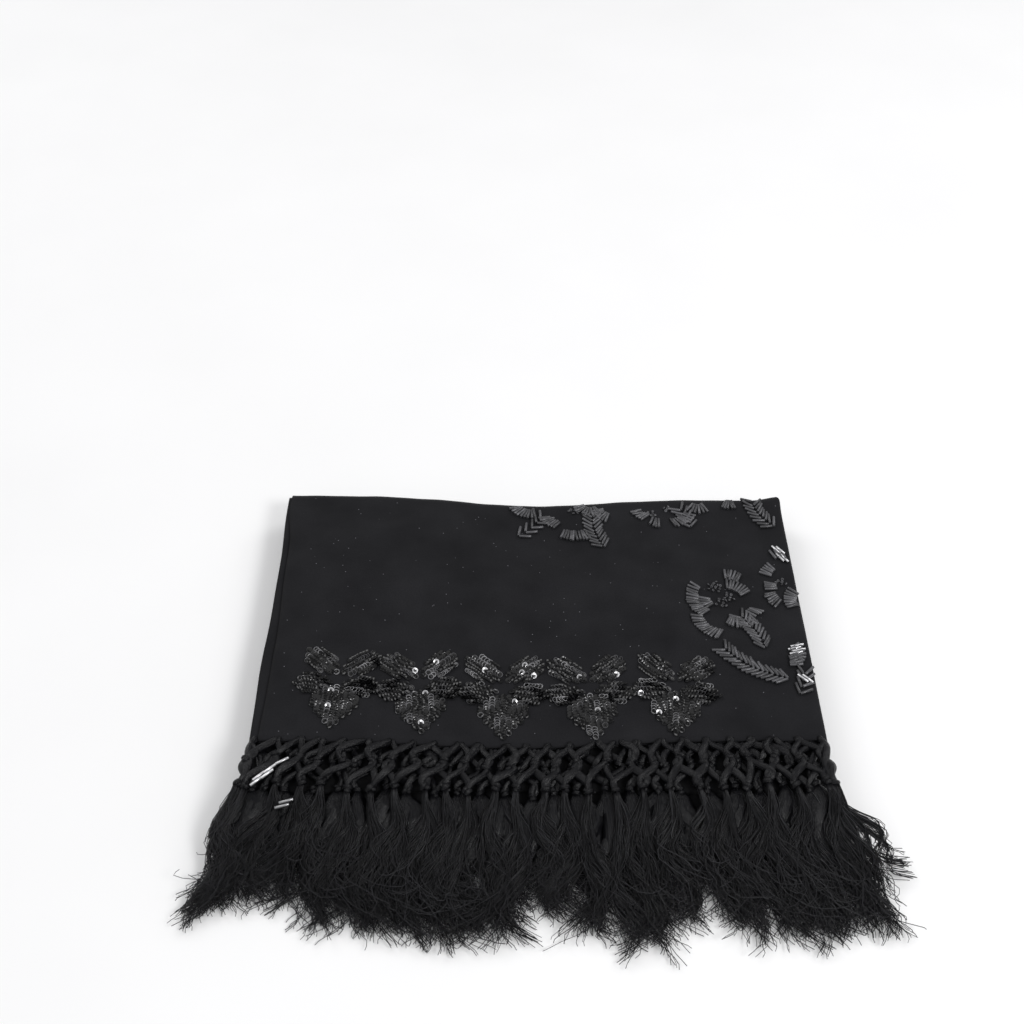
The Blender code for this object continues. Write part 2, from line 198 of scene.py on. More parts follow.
# %% Slope and fan of the fringe
DRAPE_REACH = (0.0, 0.015, 0.032, 0.044, 0.058, 0.074, 0.090, 0.112, 0.150)
DRAPE_HEIGHT = (0.0252, 0.0240, 0.0222, 0.0186, 0.0118, 0.0050, 0.0018, 0.0010, 0.0008)
DRAPE_ROUNDING = 0.008
FRINGE_END_X = 0.184
FAN_LEFT = -0.030
FAN_RIGHT = 0.041
FAN_REACH = 0.120
FAN_POWER = 0.80
FAN_SIDE_POWER = 1.7


def drape_height(reach):
    """The height under the fringe: the table's heights averaged over a few places close by."""
    total = 0.0
    for step in range(-3, 4):
        total = total + np.interp(reach + DRAPE_ROUNDING * step / 3, DRAPE_REACH, DRAPE_HEIGHT)
    return total / 7


def drape_slope(reach):
    """The angle at which the fringe comes down."""
    step = 2 * MILLIMETRE
    return np.arctan2(drape_height(reach - step) - drape_height(reach + step), 2 * step)


def fanned(x, reach):
    """How the fringe fans out: a shift that grows towards both ends and with the reach."""
    side = x / FRINGE_END_X
    spread = np.where(side > 0, FAN_RIGHT, FAN_LEFT) * np.abs(side) ** FAN_SIDE_POWER
    return x + spread * (np.maximum(reach, 0.0) / FAN_REACH) ** FAN_POWER


def fringe_point(x, reach, lift):
    """A point of the fringe: on the slope at its reach, then lifted square to the slope."""
    slope = drape_slope(reach)
    y = hem_edge(x) - reach - lift * np.sin(slope)
    z = drape_height(reach) + lift * np.cos(slope)
    return side_by_side(fanned(x, reach), y, z)


# %% [markdown]
# ## Colours and nodes
#
# Cloth, silk and glass here are all nearly black, and it is their lustre and their small differences that
# tell them apart. Colours are written as hex values, as a colour picker gives them, and one function turns
# them into the linear values that Blender's shaders need. A second function adds a node with its values and
# its links, and small ones on top of it name what is used most, so that each material reads as a short list.

# %% Helpers for materials


def linear(hex_colour):
    """Turns an sRGB hex colour into linear red, green, blue and alpha."""
    values = np.array([int(hex_colour[place : place + 2], 16) for place in (1, 3, 5)]) / 255
    low, high = values / 12.92, ((values + 0.055) / 1.055) ** 2.4
    return (*np.where(values <= 0.04045, low, high).tolist(), 1.0)


def add_node(tree, kind, settings, links=None):
    """Adds a node. settings holds its properties and the values of its sockets, links what feeds a socket."""
    node = tree.nodes.new("ShaderNode" + kind)
    for key, value in settings.items():
        if isinstance(key, str) and hasattr(node, key):
            setattr(node, key, value)
        else:
            node.inputs[key].default_value = value
    for key, output in (links or {}).items():
        tree.links.new(output, node.inputs[key])
    return node


def own_uv(tree):
    """The place on the piece's own UV map."""
    return add_node(tree, "UVMap", {"uv_map": "UVMap"}).outputs["UV"]


def own_tint(tree):
    """The value that the piece keeps with each point."""
    return add_node(tree, "Attribute", {"attribute_name": "tint"}).outputs["Fac"]


def noise(tree, place, **settings):
    """The grey value of noise at a place."""
    return add_node(tree, "TexNoise", settings, {"Vector": place}).outputs["Fac"]


def ranged(tree, value, low, high, start=0.0, end=1.0):
    """A value moved from the range between start and end to that between low and high."""
    settings = {"From Min": start, "From Max": end, "To Min": low, "To Max": high}
    return add_node(tree, "MapRange", settings, {"Value": value}).outputs["Result"]


def mixed(tree, share, first, second, **settings):
    """Two colours mixed by a share. The first one may be a hex colour or the output of a node."""
    settings = {"data_type": "RGBA", **settings, 7: linear(second)}
    if isinstance(first, str):
        return add_node(tree, "Mix", {**settings, 6: linear(first)}, {0: share}).outputs[2]
    return add_node(tree, "Mix", settings, {0: share, 6: first}).outputs[2]


def relief(tree, height, strength, distance):
    """The bumps that a height gives."""
    return add_node(tree, "Bump", {"Strength": strength, "Distance": distance}, {"Height": height}).outputs[0]


def new_material(name):
    """An empty material with its node tree, and the Principled shader that it ends in."""
    material = bpy.data.materials.new(name)
    material.use_nodes = True
    return material, material.node_tree, material.node_tree.nodes["Principled BSDF"]


def set_shader(shader, **values):
    """Fills the shader's own sockets, with constants or nodes' outputs. Underscores stand for spaces."""
    for key, value in values.items():
        socket = shader.inputs[key.replace("_", " ")]
        if isinstance(value, bpy.types.NodeSocket):
            shader.id_data.links.new(value, socket)
        else:
            socket.default_value = value


# %% [markdown]
# ## Fine black wool
#
# The cloth is a light worsted wool in plain weave, with a dry, matt surface and a faint bloom of loose
# fibres at a glancing angle. Its threads are about 0.4 mm apart, too fine to show here, so the weave is drawn
# at 0.9 mm and faintly. Two crossed wave textures make the weave, noise breaks it up, and a few specks of
# lint lie on it. The pattern reads the cloth's own UV map, in metres, so it follows every fold.

# %% Wool materials
WEAVE_MM = 0.9
WAVE_PERIOD = 0.314  # the wave texture's own period, at a scale of 1


def woven_wool(name, dark, light):
    """Plain weave between two colours: crossed waves and noise as relief, clouds and lint as colour."""
    material, tree, shader = new_material(name)
    place = own_uv(tree)
    wave = {"Scale": WAVE_PERIOD / (WEAVE_MM * MILLIMETRE), "Distortion": 1.2, "Detail Scale": 0.3}
    waves = [
        add_node(tree, "TexWave", {"bands_direction": axis, **wave}, {"Vector": place}).outputs["Fac"]
        for axis in ("X", "Y")
    ]
    weave = add_node(tree, "Math", {"operation": "MULTIPLY"}, {0: waves[0], 1: waves[1]}).outputs["Value"]
    fuzz = noise(tree, place, Scale=700.0, Detail=3.0)
    clouds = ranged(tree, noise(tree, place, Scale=26.0, Detail=5.0), 0.0, 1.0, start=0.30, end=0.70)
    lint = add_node(tree, "TexVoronoi", {"Scale": 150.0, "Randomness": 1.0}, {"Vector": place})
    specks = ranged(tree, lint.outputs["Distance"], 0.0, 0.85, start=0.062, end=0.030)
    clouded = mixed(tree, clouds, mixed(tree, fuzz, dark, light), "#a9a9b2", blend_type="MULTIPLY")
    height = add_node(tree, "Mix", {"data_type": "FLOAT", 0: 0.5}, {2: weave, 3: fuzz}).outputs[0]
    set_shader(shader, Base_Color=mixed(tree, specks, clouded, "#7c7c82"))
    set_shader(shader, Normal=relief(tree, height, strength=0.4, distance=0.0003))
    set_shader(shader, Roughness=0.86, Specular_IOR_Level=0.20, Sheen_Weight=0.05, Sheen_Roughness=0.45)
    return material


wool = woven_wool("worsted_wool_plain_weave", "#131316", "#1e1e21")
# The lower layers are painted darker than the top panel: painted shade for the shadow on the sides of the
# stack.
wool_painted_shade = woven_wool("worsted_wool_painted_shade", "#0b0b0d", "#131315")
print("wool: weave drawn at", WEAVE_MM, "mm")

# %% [markdown]
# ## Silk thread
#
# The fringe is floss silk: hundreds of barely twisted filaments, each with a soft lustre along its length.
# The loose threads are thin tubes here, so the light finds its own highlights on them, and a value kept with
# each thread, its tint, makes some a little paler and some rougher. The knotted bundles are thick, so their
# filaments are drawn as fine stripes that run along the bundle and turn slowly round it.

# %% Silk materials
silk_thread, tree, shader = new_material("floss_silk_thread")
tint = own_tint(tree)
set_shader(shader, Base_Color=mixed(tree, tint, "#060607", "#333336"))
set_shader(shader, Roughness=ranged(tree, tint, 0.30, 0.50), IOR=1.54, Specular_IOR_Level=0.20)
set_shader(shader, Sheen_Weight=0.0)

FILAMENT_STRIPES = 14.0
silk_bundle, tree, shader = new_material("floss_silk_bundle")
stretch = {"Scale": (90.0, FILAMENT_STRIPES, 1.0), "Rotation": (0.0, 0.0, 0.12)}
stretched = add_node(tree, "Mapping", stretch, {"Vector": own_uv(tree)}).outputs["Vector"]
filaments = noise(tree, stretched, Scale=1.0, Detail=4.0, Roughness=0.62)
set_shader(shader, Base_Color=mixed(tree, filaments, "#020203", "#18181b"))
set_shader(shader, Normal=relief(tree, filaments, strength=1.0, distance=0.0008))
set_shader(shader, Roughness=0.27, IOR=1.54, Specular_IOR_Level=0.20)
print("silk: threads and bundles")

# %% [markdown]
# ## Sequins and glass beads
#
# The sequins are punched from glossy black plastic film and cupped. Their edges carry painted highlights: a
# value kept with each point of a sequin, its tint, lightens the film's colour towards pale grey at the edge,
# by as much as that sequin is meant to catch the light. The long beads are cut from drawn glass tube with a
# gunmetal coat, which mirrors the room softly, so they look grey from end to end. The small round beads are
# the same glass, fire polished. A few long beads get a painted glint instead: a pale colour along the top of
# the tube, dark towards both sides. The same painted glint stands in for the flash of the few sequins that
# glint white.

# %% Sequin and bead materials
sequin_film, tree, shader = new_material("glossy_black_sequin_film")
tint = own_tint(tree)
# The tint lightens the film from black to pale grey: painted highlight on the sequins' edges.
film_colour = add_node(tree, "ValToRGB", {}, {0: tint})
film_stops = film_colour.color_ramp.elements
film_stops[0].color = linear("#070708")
film_stops[1].color = linear("#dcdcde")
film_stops.new(0.72).color = linear("#77777a")
set_shader(shader, Base_Color=film_colour.outputs["Color"], Roughness=ranged(tree, tint, 0.12, 0.30))
set_shader(shader, IOR=1.57, Specular_IOR_Level=0.25)

bugle_glass, tree, shader = new_material("gunmetal_coated_glass_tube")
drawn_lines = noise(tree, add_node(tree, "TexCoord", {}).outputs["Object"], Scale=900.0, Detail=2.0)
set_shader(shader, Base_Color=mixed(tree, own_tint(tree), "#39393b", "#59595c"))
set_shader(shader, Roughness=ranged(tree, drawn_lines, 0.24, 0.42), IOR=1.52, Metallic=0.25)

# Where the tint is high the base colour turns near white: a painted glint, for the bright beads and the few
# glinting sequins.
painted_glint, tree, shader = new_material("painted_glint_on_black")
set_shader(shader, Base_Color=mixed(tree, own_tint(tree), "#1d1d1f", "#fbfbfd"))
set_shader(shader, Roughness=0.22, IOR=1.52, Metallic=0.5)
print("sequin film and coated glass")

# %% [markdown]
# ## The end panel
#
# The last stretch of the scarf lies on top. It is folded in half lengthwise, so it is two layers of cloth
# joined by a soft fold on the right, and at the back it turns down into the layer below. Its section across
# the scarf is a flat hairpin, and that section is carried from the hem to the back. The Solidify modifier
# gives the surface its thickness. Creases are listed one by one, because real ones come from how the scarf
# was folded and packed, and none is quite like the next.

# %% Section and creases of the end panel
CLOTH_WALL = 0.0014
SEAM_GAP = 0.0004
CORE_GAP = 0.0005
UNDER_LEVEL = CORE_GAP + CLOTH_WALL / 2
UPPER_LEVEL = UNDER_LEVEL + CLOTH_WALL + SEAM_GAP
MIDDLE_LEVEL = (UPPER_LEVEL + UNDER_LEVEL) / 2
FOLD_RADIUS = 0.0021
FOLD_BLEND = 0.022
FOLD_X = STACK_WIDTH / 2 - FOLD_RADIUS - CLOTH_WALL / 2
UPPER_SELVEDGE_X = -0.1815
UNDER_SELVEDGE_X = -0.1880
CURL_RADIUS = 0.0050
CURL_TURN = math.radians(80)
CLOTH_THICK = 0.0008
HEM_FLAT = 0.012

# Each crease runs from one place to another: x, y, x, y, how wide it is and how high, all in millimetres.
CREASES_MM = (
    (-178, 92, -60, 118, 9, 0.94), (-150, 20, -95, 92, 11, -0.85), (-172, -40, -128, -22, 8, 0.77),
    (-70, 6, 20, 22, 14, 0.68), (-20, 60, 58, 96, 10, -0.77), (40, -20, 120, 10, 12, 0.68),
    (70, 48, 138, 40, 9, 0.85), (100, 92, 176, 66, 8, -0.77), (128, -70, 182, -58, 9, 0.85),
    (-110, -84, -30, -80, 8, 0.59), (20, -86, 92, -82, 9, -0.59), (-186, -90, -150, -60, 7, 0.68),
)
# Each wave of the crumple: which way it runs, in radians, its length in metres and its height in millimetres.
CRUMPLE_WAVES = ((0.4, 0.041, 0.15), (1.3, 0.029, 0.12), (2.2, 0.037, 0.13), (2.9, 0.023, 0.08))


def creases(x, y):
    """The height of all creases: each is a rounded ridge or trough round a line, fading out at its ends."""
    total = 0.0
    for x0, y0, x1, y1, width, height in np.array(CREASES_MM) * MILLIMETRE:
        run_x, run_y = x1 - x0, y1 - y0
        length = math.hypot(run_x, run_y)
        share = ((x - x0) * run_x + (y - y0) * run_y) / length**2
        aside = ((x - x0) * run_y - (y - y0) * run_x) / length
        bend = 0.06 * length * arch(np.clip(share, 0, 1))
        fade = smooth(share / 0.3) * smooth((1 - share) / 0.3)
        total = total + height * bell(aside - bend, width) * fade
    return total


def crumple(x, y):
    """Faint unevenness all over: a sum of long slanting waves a tenth of a millimetre high."""
    total = 0.0
    for turn, length, height in CRUMPLE_WAVES:
        place = x * math.cos(turn) + y * math.sin(turn)
        total = total + height * MILLIMETRE * np.sin(TAU * place / length + 3 * turn + 18 * y)
    return total


def bumps(x, y):
    """Creases and crumple in the middle of the panel, none at its hem, where the knots hold it flat."""
    return (creases(x, y) + crumple(x, y)) * smooth((y - hem_edge(x)) / HEM_FLAT)


def opened(x, level):
    """The two halves part towards the fold: a smooth step from their own level to the fold's radius."""
    share = smooth((x - (FOLD_X - FOLD_BLEND)) / FOLD_BLEND)
    spread = FOLD_RADIUS if level > MIDDLE_LEVEL else -FOLD_RADIUS
    return level + (MIDDLE_LEVEL + spread - level) * share


def panel_section(steps, fold_steps):
    """The hairpin section: across the upper half, round a half circle, and back across the under half."""
    upper_x = np.linspace(UPPER_SELVEDGE_X, FOLD_X, steps)
    under_x = np.linspace(FOLD_X, UNDER_SELVEDGE_X, steps)
    angle = np.linspace(math.pi / 2, -math.pi / 2, fold_steps + 2)[1:-1]
    x = np.concatenate([upper_x, FOLD_X + FOLD_RADIUS * np.cos(angle), under_x])
    round_fold = MIDDLE_LEVEL + FOLD_RADIUS * np.sin(angle)
    level = np.concatenate([opened(upper_x, UPPER_LEVEL), round_fold, opened(under_x, UNDER_LEVEL)])
    share = np.concatenate([np.ones(steps), 0.5 + 0.5 * np.sin(angle), np.zeros(steps)])
    return x, level, share


def curl_start(x):
    """Where the panel starts to turn down at the back."""
    return back_edge(x) - CORE_GAP - 2 * CLOTH_WALL - SEAM_GAP - CURL_RADIUS


# %% [markdown]
# The grid has a row every 2 mm from hem to back, and closer rows round the curl. The back right corner
# stands up a little, as it does on the real scarf. Near the hem the cloth is turned under and stitched,
# which leaves a low ridge along the edge.

# %% Make the end panel's cloth
PANEL_ROWS = 118
CURL_ROWS = 9
HALF_COLUMNS = 100
FOLD_COLUMNS = 9
HEM_RIDGE = 0.00030
HEM_RIDGE_IN = 0.0045
HEM_RIDGE_WIDTH = 0.0018
SELVEDGE_REACH = 0.02
SELVEDGE_WAVE = 0.0008
SELVEDGE_FLARE = 0.0050
FLARE_START_Y = 0.085
FLARE_RUN = 0.045
UNDER_BUMPS = 0.25  # how much of the upper half's creases the under half has
CORNER_LIFT = 0.0040
CORNER_REACH = 0.012

section_x, section_level, section_upper = panel_section(HALF_COLUMNS, FOLD_COLUMNS)
along = np.concatenate([np.linspace(0, 1, PANEL_ROWS), 1 + np.linspace(0, 1, CURL_ROWS + 1)[1:]])[:, None]
curled = np.maximum(along - 1.0, 0.0)
panel_x = section_x[None, :] + 0 * along
panel_y = hem_edge(panel_x) + (curl_start(panel_x) - hem_edge(panel_x)) * np.minimum(along, 1.0)
edge_near = bell(section_x - UPPER_SELVEDGE_X, SELVEDGE_REACH) * section_upper
edge_near = edge_near + bell(section_x - UNDER_SELVEDGE_X, SELVEDGE_REACH) * (1 - section_upper)
wavy = np.sin(panel_y * 33 + 2 * section_upper) + 0.3 * np.sin(panel_y * 88 + 1)
flare = section_upper * SELVEDGE_FLARE * smooth((panel_y - FLARE_START_Y) / FLARE_RUN)
panel_x = panel_x + edge_near * (SELVEDGE_WAVE * wavy - flare)
hem_ridge = HEM_RIDGE * bell(panel_y - hem_edge(panel_x) - HEM_RIDGE_IN, HEM_RIDGE_WIDTH) * section_upper
panel_z = stack_top(panel_x, panel_y) + hem_ridge - CURL_RADIUS
panel_z = panel_z + bumps(panel_x, panel_y) * (UNDER_BUMPS + (1 - UNDER_BUMPS) * section_upper)
panel_z = panel_z + (CURL_RADIUS + section_level) * np.cos(CURL_TURN * curled)
panel_y = panel_y + (CURL_RADIUS + section_level) * np.sin(CURL_TURN * curled)
corner_gap = np.hypot(panel_x - STACK_WIDTH / 2, panel_y - back_edge(STACK_WIDTH / 2))
panel_z = panel_z + CORNER_LIFT * bell(corner_gap, CORNER_REACH) * (1 - 0.8 * curled)
panel_points = side_by_side(panel_x, panel_y, panel_z)


def metres_along(points, axis):
    """How far along an axis of a grid each of its steps lies: the mean of its lines."""
    steps = np.linalg.norm(np.diff(points, axis=axis), axis=-1).mean(axis=1 - axis)
    return np.concatenate([[0], np.cumsum(steps)])


faces = grid_faces(*panel_points.shape[:2])
across, onward = metres_along(panel_points, 1), metres_along(panel_points, 0)
uvs = side_by_side(across[None, :], onward[:, None]).reshape(-1, 2)[faces.ravel()]
end_cloth = mesh_piece("end_panel_cloth", panel_points, [faces], wool, uvs=uvs)
wall = end_cloth.modifiers.new("cloth_thickness", "SOLIDIFY")
wall.thickness = CLOTH_THICK
wall.offset = 0.0
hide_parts("end_panel")

# %% [markdown]
# ## The folded layers underneath
#
# Under the end panel lie six more double layers, folded to and fro. Only their edges show, as a pile of soft
# rolls, so each is made as a flattened closed shell: rings that follow the outline of the stack, drawn in and
# raised step by step round a rounded edge. Every layer is drawn in by its own amounts and wavers along its
# edge. On the left, where each layer has its two selvedges and no fold, a groove parts the roll in two.

# %% Make the folded layers
# For each layer from the lowest up, how far it is drawn in at the left, the right, the front and the back.
LAYER_INSETS_MM = (
    (3.0, 2.0, 1.2, 1.6), (1.2, 0.6, 2.4, 0.4), (2.2, 1.2, 0.2, 1.4),
    (0.8, 0.4, 1.0, 0.6), (1.8, 1.4, 5.0, 1.8), (1.4, 4.6, 14.0, 7.6),
)
LAYERS = len(LAYER_INSETS_MM)
CORNER_STEPS = 7
SIDE_STEPS = 46
OUTLINE_CORNER = 0.012
SHARPEST_CORNER = 0.004
FOLD_DIP = 0.0016
FOLD_DIP_REACH = 0.036
FOLD_DIP_FULL = 0.016
CORE_UNDER_DRAPE = 0.0006
EDGE_WAVER = 0.0006
SELVEDGE_GROOVE = 0.0011
LAYER_UV_SHIFT = 0.317


def core_top(x, y):
    """The upper face of the layers: lower under the fold, and following the fringe's slope at the front."""
    past_start = x - (STACK_WIDTH / 2 - FOLD_DIP_REACH)
    level = stack_top(x, y) - FOLD_DIP * smooth(past_start / FOLD_DIP_FULL)
    reach = hem_edge(x) - y
    return np.where(reach <= 0, level, np.minimum(level, drape_height(reach) - CORE_UNDER_DRAPE))


def layer_outline():
    """A rounded rectangle as signs and angles: which corner a point belongs to, and its turn round it."""
    arc = np.linspace(0, math.pi / 2, CORNER_STEPS + 1)
    line = np.linspace(0, 1, SIDE_STEPS + 1)[1:-1]
    sides = []
    for number, (here_x, here_y) in enumerate(((1, 1), (-1, 1), (-1, -1), (1, -1))):
        start = number * math.pi / 2
        next_x, next_y = -here_y, here_x
        sides.append([np.full(len(arc), here_x), np.full(len(arc), here_y), start + arc])
        angle = np.full(len(line), start + math.pi / 2)
        sides.append([here_x + (next_x - here_x) * line, here_y + (next_y - here_y) * line, angle])
    return np.concatenate(sides, axis=1)


def layer_rings(number, draw, height):
    """One layer's shell: the outline drawn in by draw at each height, both arrays with one value a ring."""
    left, right, front, back = (value * MILLIMETRE for value in LAYER_INSETS_MM[number])
    draw, height = draw[:, None], height[:, None]
    sign_x, sign_y, angle = layer_outline()
    half_x = (STACK_WIDTH - left - right) / 2 - draw
    half_y = (STACK_DEPTH - front - back) / 2 - draw
    corner = np.maximum(OUTLINE_CORNER - draw * 0.5, SHARPEST_CORNER)
    x = (left - right) / 2 + sign_x * (half_x - corner) + corner * np.cos(angle)
    y = (front - back) / 2 + sign_y * (half_y - corner) + corner * np.sin(angle)
    x = x + EDGE_WAVER * np.cos(angle) * np.sin(y * 27 + number * 0.9 + np.sin(y * 11 + number))
    y = y + EDGE_WAVER * np.sin(angle) * np.sin(x * 23 + number * 1.3 + np.sin(x * 9 + number))
    on_left = smooth((-x - STACK_WIDTH / 2 + 0.010) / 0.008)
    x = x + bell((height - 0.5) * 2, 0.28) * on_left * SELVEDGE_GROOVE
    y = np.where(y > 0, y * back_edge(x) / (STACK_DEPTH / 2), y)
    z = (number + height) * core_top(x, y) / LAYERS
    if number == 0:
        z = np.where(height <= 0.05, 0.0, z)
    return side_by_side(x, y, z)


EDGE_ROUND = 0.0019
EDGE_RING = 7  # a ring halfway round the edge, which the UVs are measured on
TOP_DRAW = (0.0035, 0.006, 0.010, 0.014, 0.018, 0.022, 0.026, 0.030, 0.034, 0.040, 0.048)
turn = np.linspace(-math.pi / 2, math.pi / 2, 11)
ring_draw = np.concatenate([[0.030, 0.006], EDGE_ROUND * (1 - np.cos(turn)), TOP_DRAW])
ring_level = np.concatenate([[0.03, 0.03], 0.5 + 0.47 * np.sin(turn), np.full(len(TOP_DRAW), 0.97)])

shell_points, shell_faces, shell_uvs = [], [], []
for number in range(LAYERS):
    if number == LAYERS - 1:
        ring_level = np.where(ring_level >= 0.97, 1.0, ring_level)
    rings = layer_rings(number, ring_draw, ring_level)
    count = rings.shape[1]
    start = number * rings.shape[0] * count
    quads = grid_faces(rings.shape[0], count, closed=True)
    bottom = np.arange(count)[::-1][None, :]
    top = (np.arange(count) + (rings.shape[0] - 1) * count)[None, :]
    v = metres_along(rings, 0)
    edge = rings[EDGE_RING]
    u = np.cumsum(np.linalg.norm(edge - np.roll(edge, 1, axis=0), axis=-1))
    # A shift for each layer, so that the specks of lint don't line up in columns.
    u = u + number * LAYER_UV_SHIFT
    ring_uv = side_by_side(u[None, :], v[:, None]).reshape(-1, 2)
    shell_points.append(rings.reshape(-1, 3))
    shell_faces += [quads + start, bottom + start, top + start]
    shell_uvs += [ring_uv[quads.ravel()], rings[0][::-1, :2], rings[-1][:, :2]]

points, uvs = np.concatenate(shell_points), np.concatenate(shell_uvs)
# Their darker wool is painted shade.
layer_cloth = mesh_piece("folded_layers_cloth", points, shell_faces, wool_painted_shade, uvs=uvs)
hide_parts("folded_layers")

# %% [markdown]
# ## Tubes along many paths
#
# Bundles, knots and threads are all tubes. One function makes any number of them at once. At each step of a
# path it lays out a ring square to the path: one direction is level, the other is square to that and to the
# path. The rings are joined by quads, and each end gets a cap, so that every tube is closed.

# %% Helper for tubes
UP = np.array([0.0, 0.0, 1.0])


def unit(vectors):
    """Vectors of length 1: each divided by its length."""
    return vectors / np.maximum(np.linalg.norm(vectors, axis=-1, keepdims=True), 1e-12)


def tubes(paths, radii, sides):
    """Rings round every step of every path, and their faces. radii has one value a step, or one a corner."""
    count, steps = paths.shape[:2]
    forward = unit(np.gradient(paths, axis=1))
    level = unit(np.cross(forward, UP))
    over = np.cross(level, forward)
    angle = round_circle(sides)
    circle = level[:, :, None] * np.cos(angle)[:, None] - over[:, :, None] * np.sin(angle)[:, None]
    radii = radii[..., None] if radii.ndim == 2 else radii
    points = paths[:, :, None] + radii[..., None] * circle
    starts = (np.arange(count) * steps * sides)[:, None, None]
    quads = (grid_faces(steps, sides, closed=True)[None] + starts).reshape(-1, 4)
    first = (np.arange(sides)[::-1] + starts[:, 0]).reshape(-1, sides)
    last = (np.arange(sides) + (steps - 1) * sides + starts[:, 0]).reshape(-1, sides)
    return points.reshape(-1, 3), [quads, first, last]


def tube_uvs(paths, sides):
    """UVs for such tubes: metres along the path, and the share of a turn round it."""
    count, steps = paths.shape[:2]
    run = np.linalg.norm(np.diff(paths, axis=1), axis=-1)
    run = np.concatenate([np.zeros((count, 1)), np.cumsum(run, axis=1)], axis=1)
    near, far = run[:, :-1, None], run[:, 1:, None]
    turn = np.arange(sides) / sides
    u = side_by_side(near, near, far, far)
    v = side_by_side(turn, turn + 1 / sides, turn + 1 / sides, turn)
    caps = np.zeros((2 * count * sides, 2))
    return np.concatenate([side_by_side(u, v).reshape(-1, 2), caps])


# %% [markdown]
# ## The knotted heading
#
# Bundles of silk are hitched through the hem, a fingerbreadth apart. Each is parted in two, and each half is
# knotted to the half of its neighbour. A second row of knots joins them again, half a step aside, so the
# heading is an open net. Each half bundle is a tube with three soft lobes that twist along it. Each knot is
# a short coil wound round the place where two bundles meet. The upper half of the scarf and the under half
# have a heading each, one over the other, half a bundle apart.

# %% Values of the headings
HEADING_COLUMNS = "name bundles lift hem_height hitched seed"
HEADINGS = (("upper", 26, 0.0076, 0.0293, True, 11), ("under", 25, 0.0026, 0.0268, False, 5))
KNOT_REACH_1 = 0.0155
KNOT_REACH_2 = 0.0320
BUNDLE_PITCH = 2 * FRINGE_END_X / (HEADINGS[0][1] - 1)
BUNDLE_RADIUS = 0.0027
KNOT_UNEVEN = 0.0024
END_KNOT_IN = 0.0084
NET_LEAN_1 = 0.0026
NET_LEAN_2 = 0.0052
HEM_APART = 0.0013
HITCH_START = -0.0032
UNDER_START = 0.0004
OVER_HEM_REACH = 0.0042
HITCH_DIP = 0.0042
LEG_BOW = 0.0022
LEG_TWIST = 0.0010
LEG_SWING = 0.0013
LEG_OVER = 0.0009
END_LEG_BOW = 0.0018
END_LEG_TWIST = 0.0004
LEG_STEPS = 15
LEG_SIDES = 12
KNOT_STEPS = 19
KNOT_SIDES = 8
KNOT_TURNS = 1.55
KNOT_COIL = 0.0019
KNOT_THREAD = 0.0017
KNOT_LENGTH = 0.0042


def table(columns, rows):
    """The rows of a table, each as a dictionary with the columns' names."""
    return [dict(zip(columns.split(), row)) for row in rows]


def face_height(x, y):
    """The upper face of the end panel: its stack, its level, its creases and its thickness, less the curl."""
    half = np.argmax(section_x)
    level = np.interp(x, section_x[: half + 1], section_level[: half + 1])
    radius = CURL_RADIUS + level
    past = np.clip(y - curl_start(x), 0.0, radius * 0.98)
    curl = radius - np.sqrt(radius**2 - past**2)
    return stack_top(x, y) + level + bumps(x, y) + CLOTH_THICK / 2 - curl


def net_point(fringe, x, reach):
    """A point of a heading: at the hem's height by the hem, and lifted off the slope from the knots on."""
    settle = smooth(reach / KNOT_REACH_1)
    point = fringe_point(x, reach, fringe["lift"] * settle)
    point[..., 2] += (fringe["hem_height"] - drape_height(reach)) * (1 - settle)
    return point


def leg_paths(fringe, x_from, reach_from, x_to, reach_to, bow, twist):
    """Half bundles: a step aside that swings out, to round the meshes. Those to the left pass over others."""
    share = np.linspace(0, 1, LEG_STEPS)[None, :]
    over, bow = (x_to - x_from)[:, None], bow[:, None]
    swing = twist[:, None] - LEG_SWING * np.sign(over)
    x = x_from[:, None] + over * smooth(share) + bow * arch(share) + swing * np.sin(TAU * share)
    reach = reach_from[:, None] + (reach_to - reach_from)[:, None] * share
    path = net_point(fringe, x, reach)
    path[..., 2] += (0.6 * np.abs(bow) - LEG_OVER * np.sign(over)) * arch(share)
    if fringe["hitched"]:
        over_hem = 1 - smooth((reach + 0.0012) / OVER_HEM_REACH)
        face = face_height(x, hem_edge(x) - reach) + 0.0009 - HITCH_DIP * (1 - smooth(share / 0.16))
        path[..., 2] = path[..., 2] * (1 - over_hem) + face * over_hem
    return path


def leg_radii(paths, chance):
    """Radii with three lobes that twist along the bundle, narrower at both ends where the knots hold it."""
    share = np.linspace(0, 1, paths.shape[1])
    swell = 0.74 + 0.26 * arch(share) ** 0.7
    start = chance.uniform(0, TAU, (len(paths), 1, 1))
    lobes = 1 + 0.12 * np.cos(3 * (round_circle(LEG_SIDES) + start) + 6.0 * share[:, None])
    size = BUNDLE_RADIUS * chance.uniform(0.78, 1.08, (len(paths), 1, 1))
    return size * swell[:, None] * lobes


def net_lean(x, most):
    """How far the knots have slid to the left with the tassels: fully at the left, not at the right."""
    return -most * (1 - smooth((x + 0.02) / 0.14))


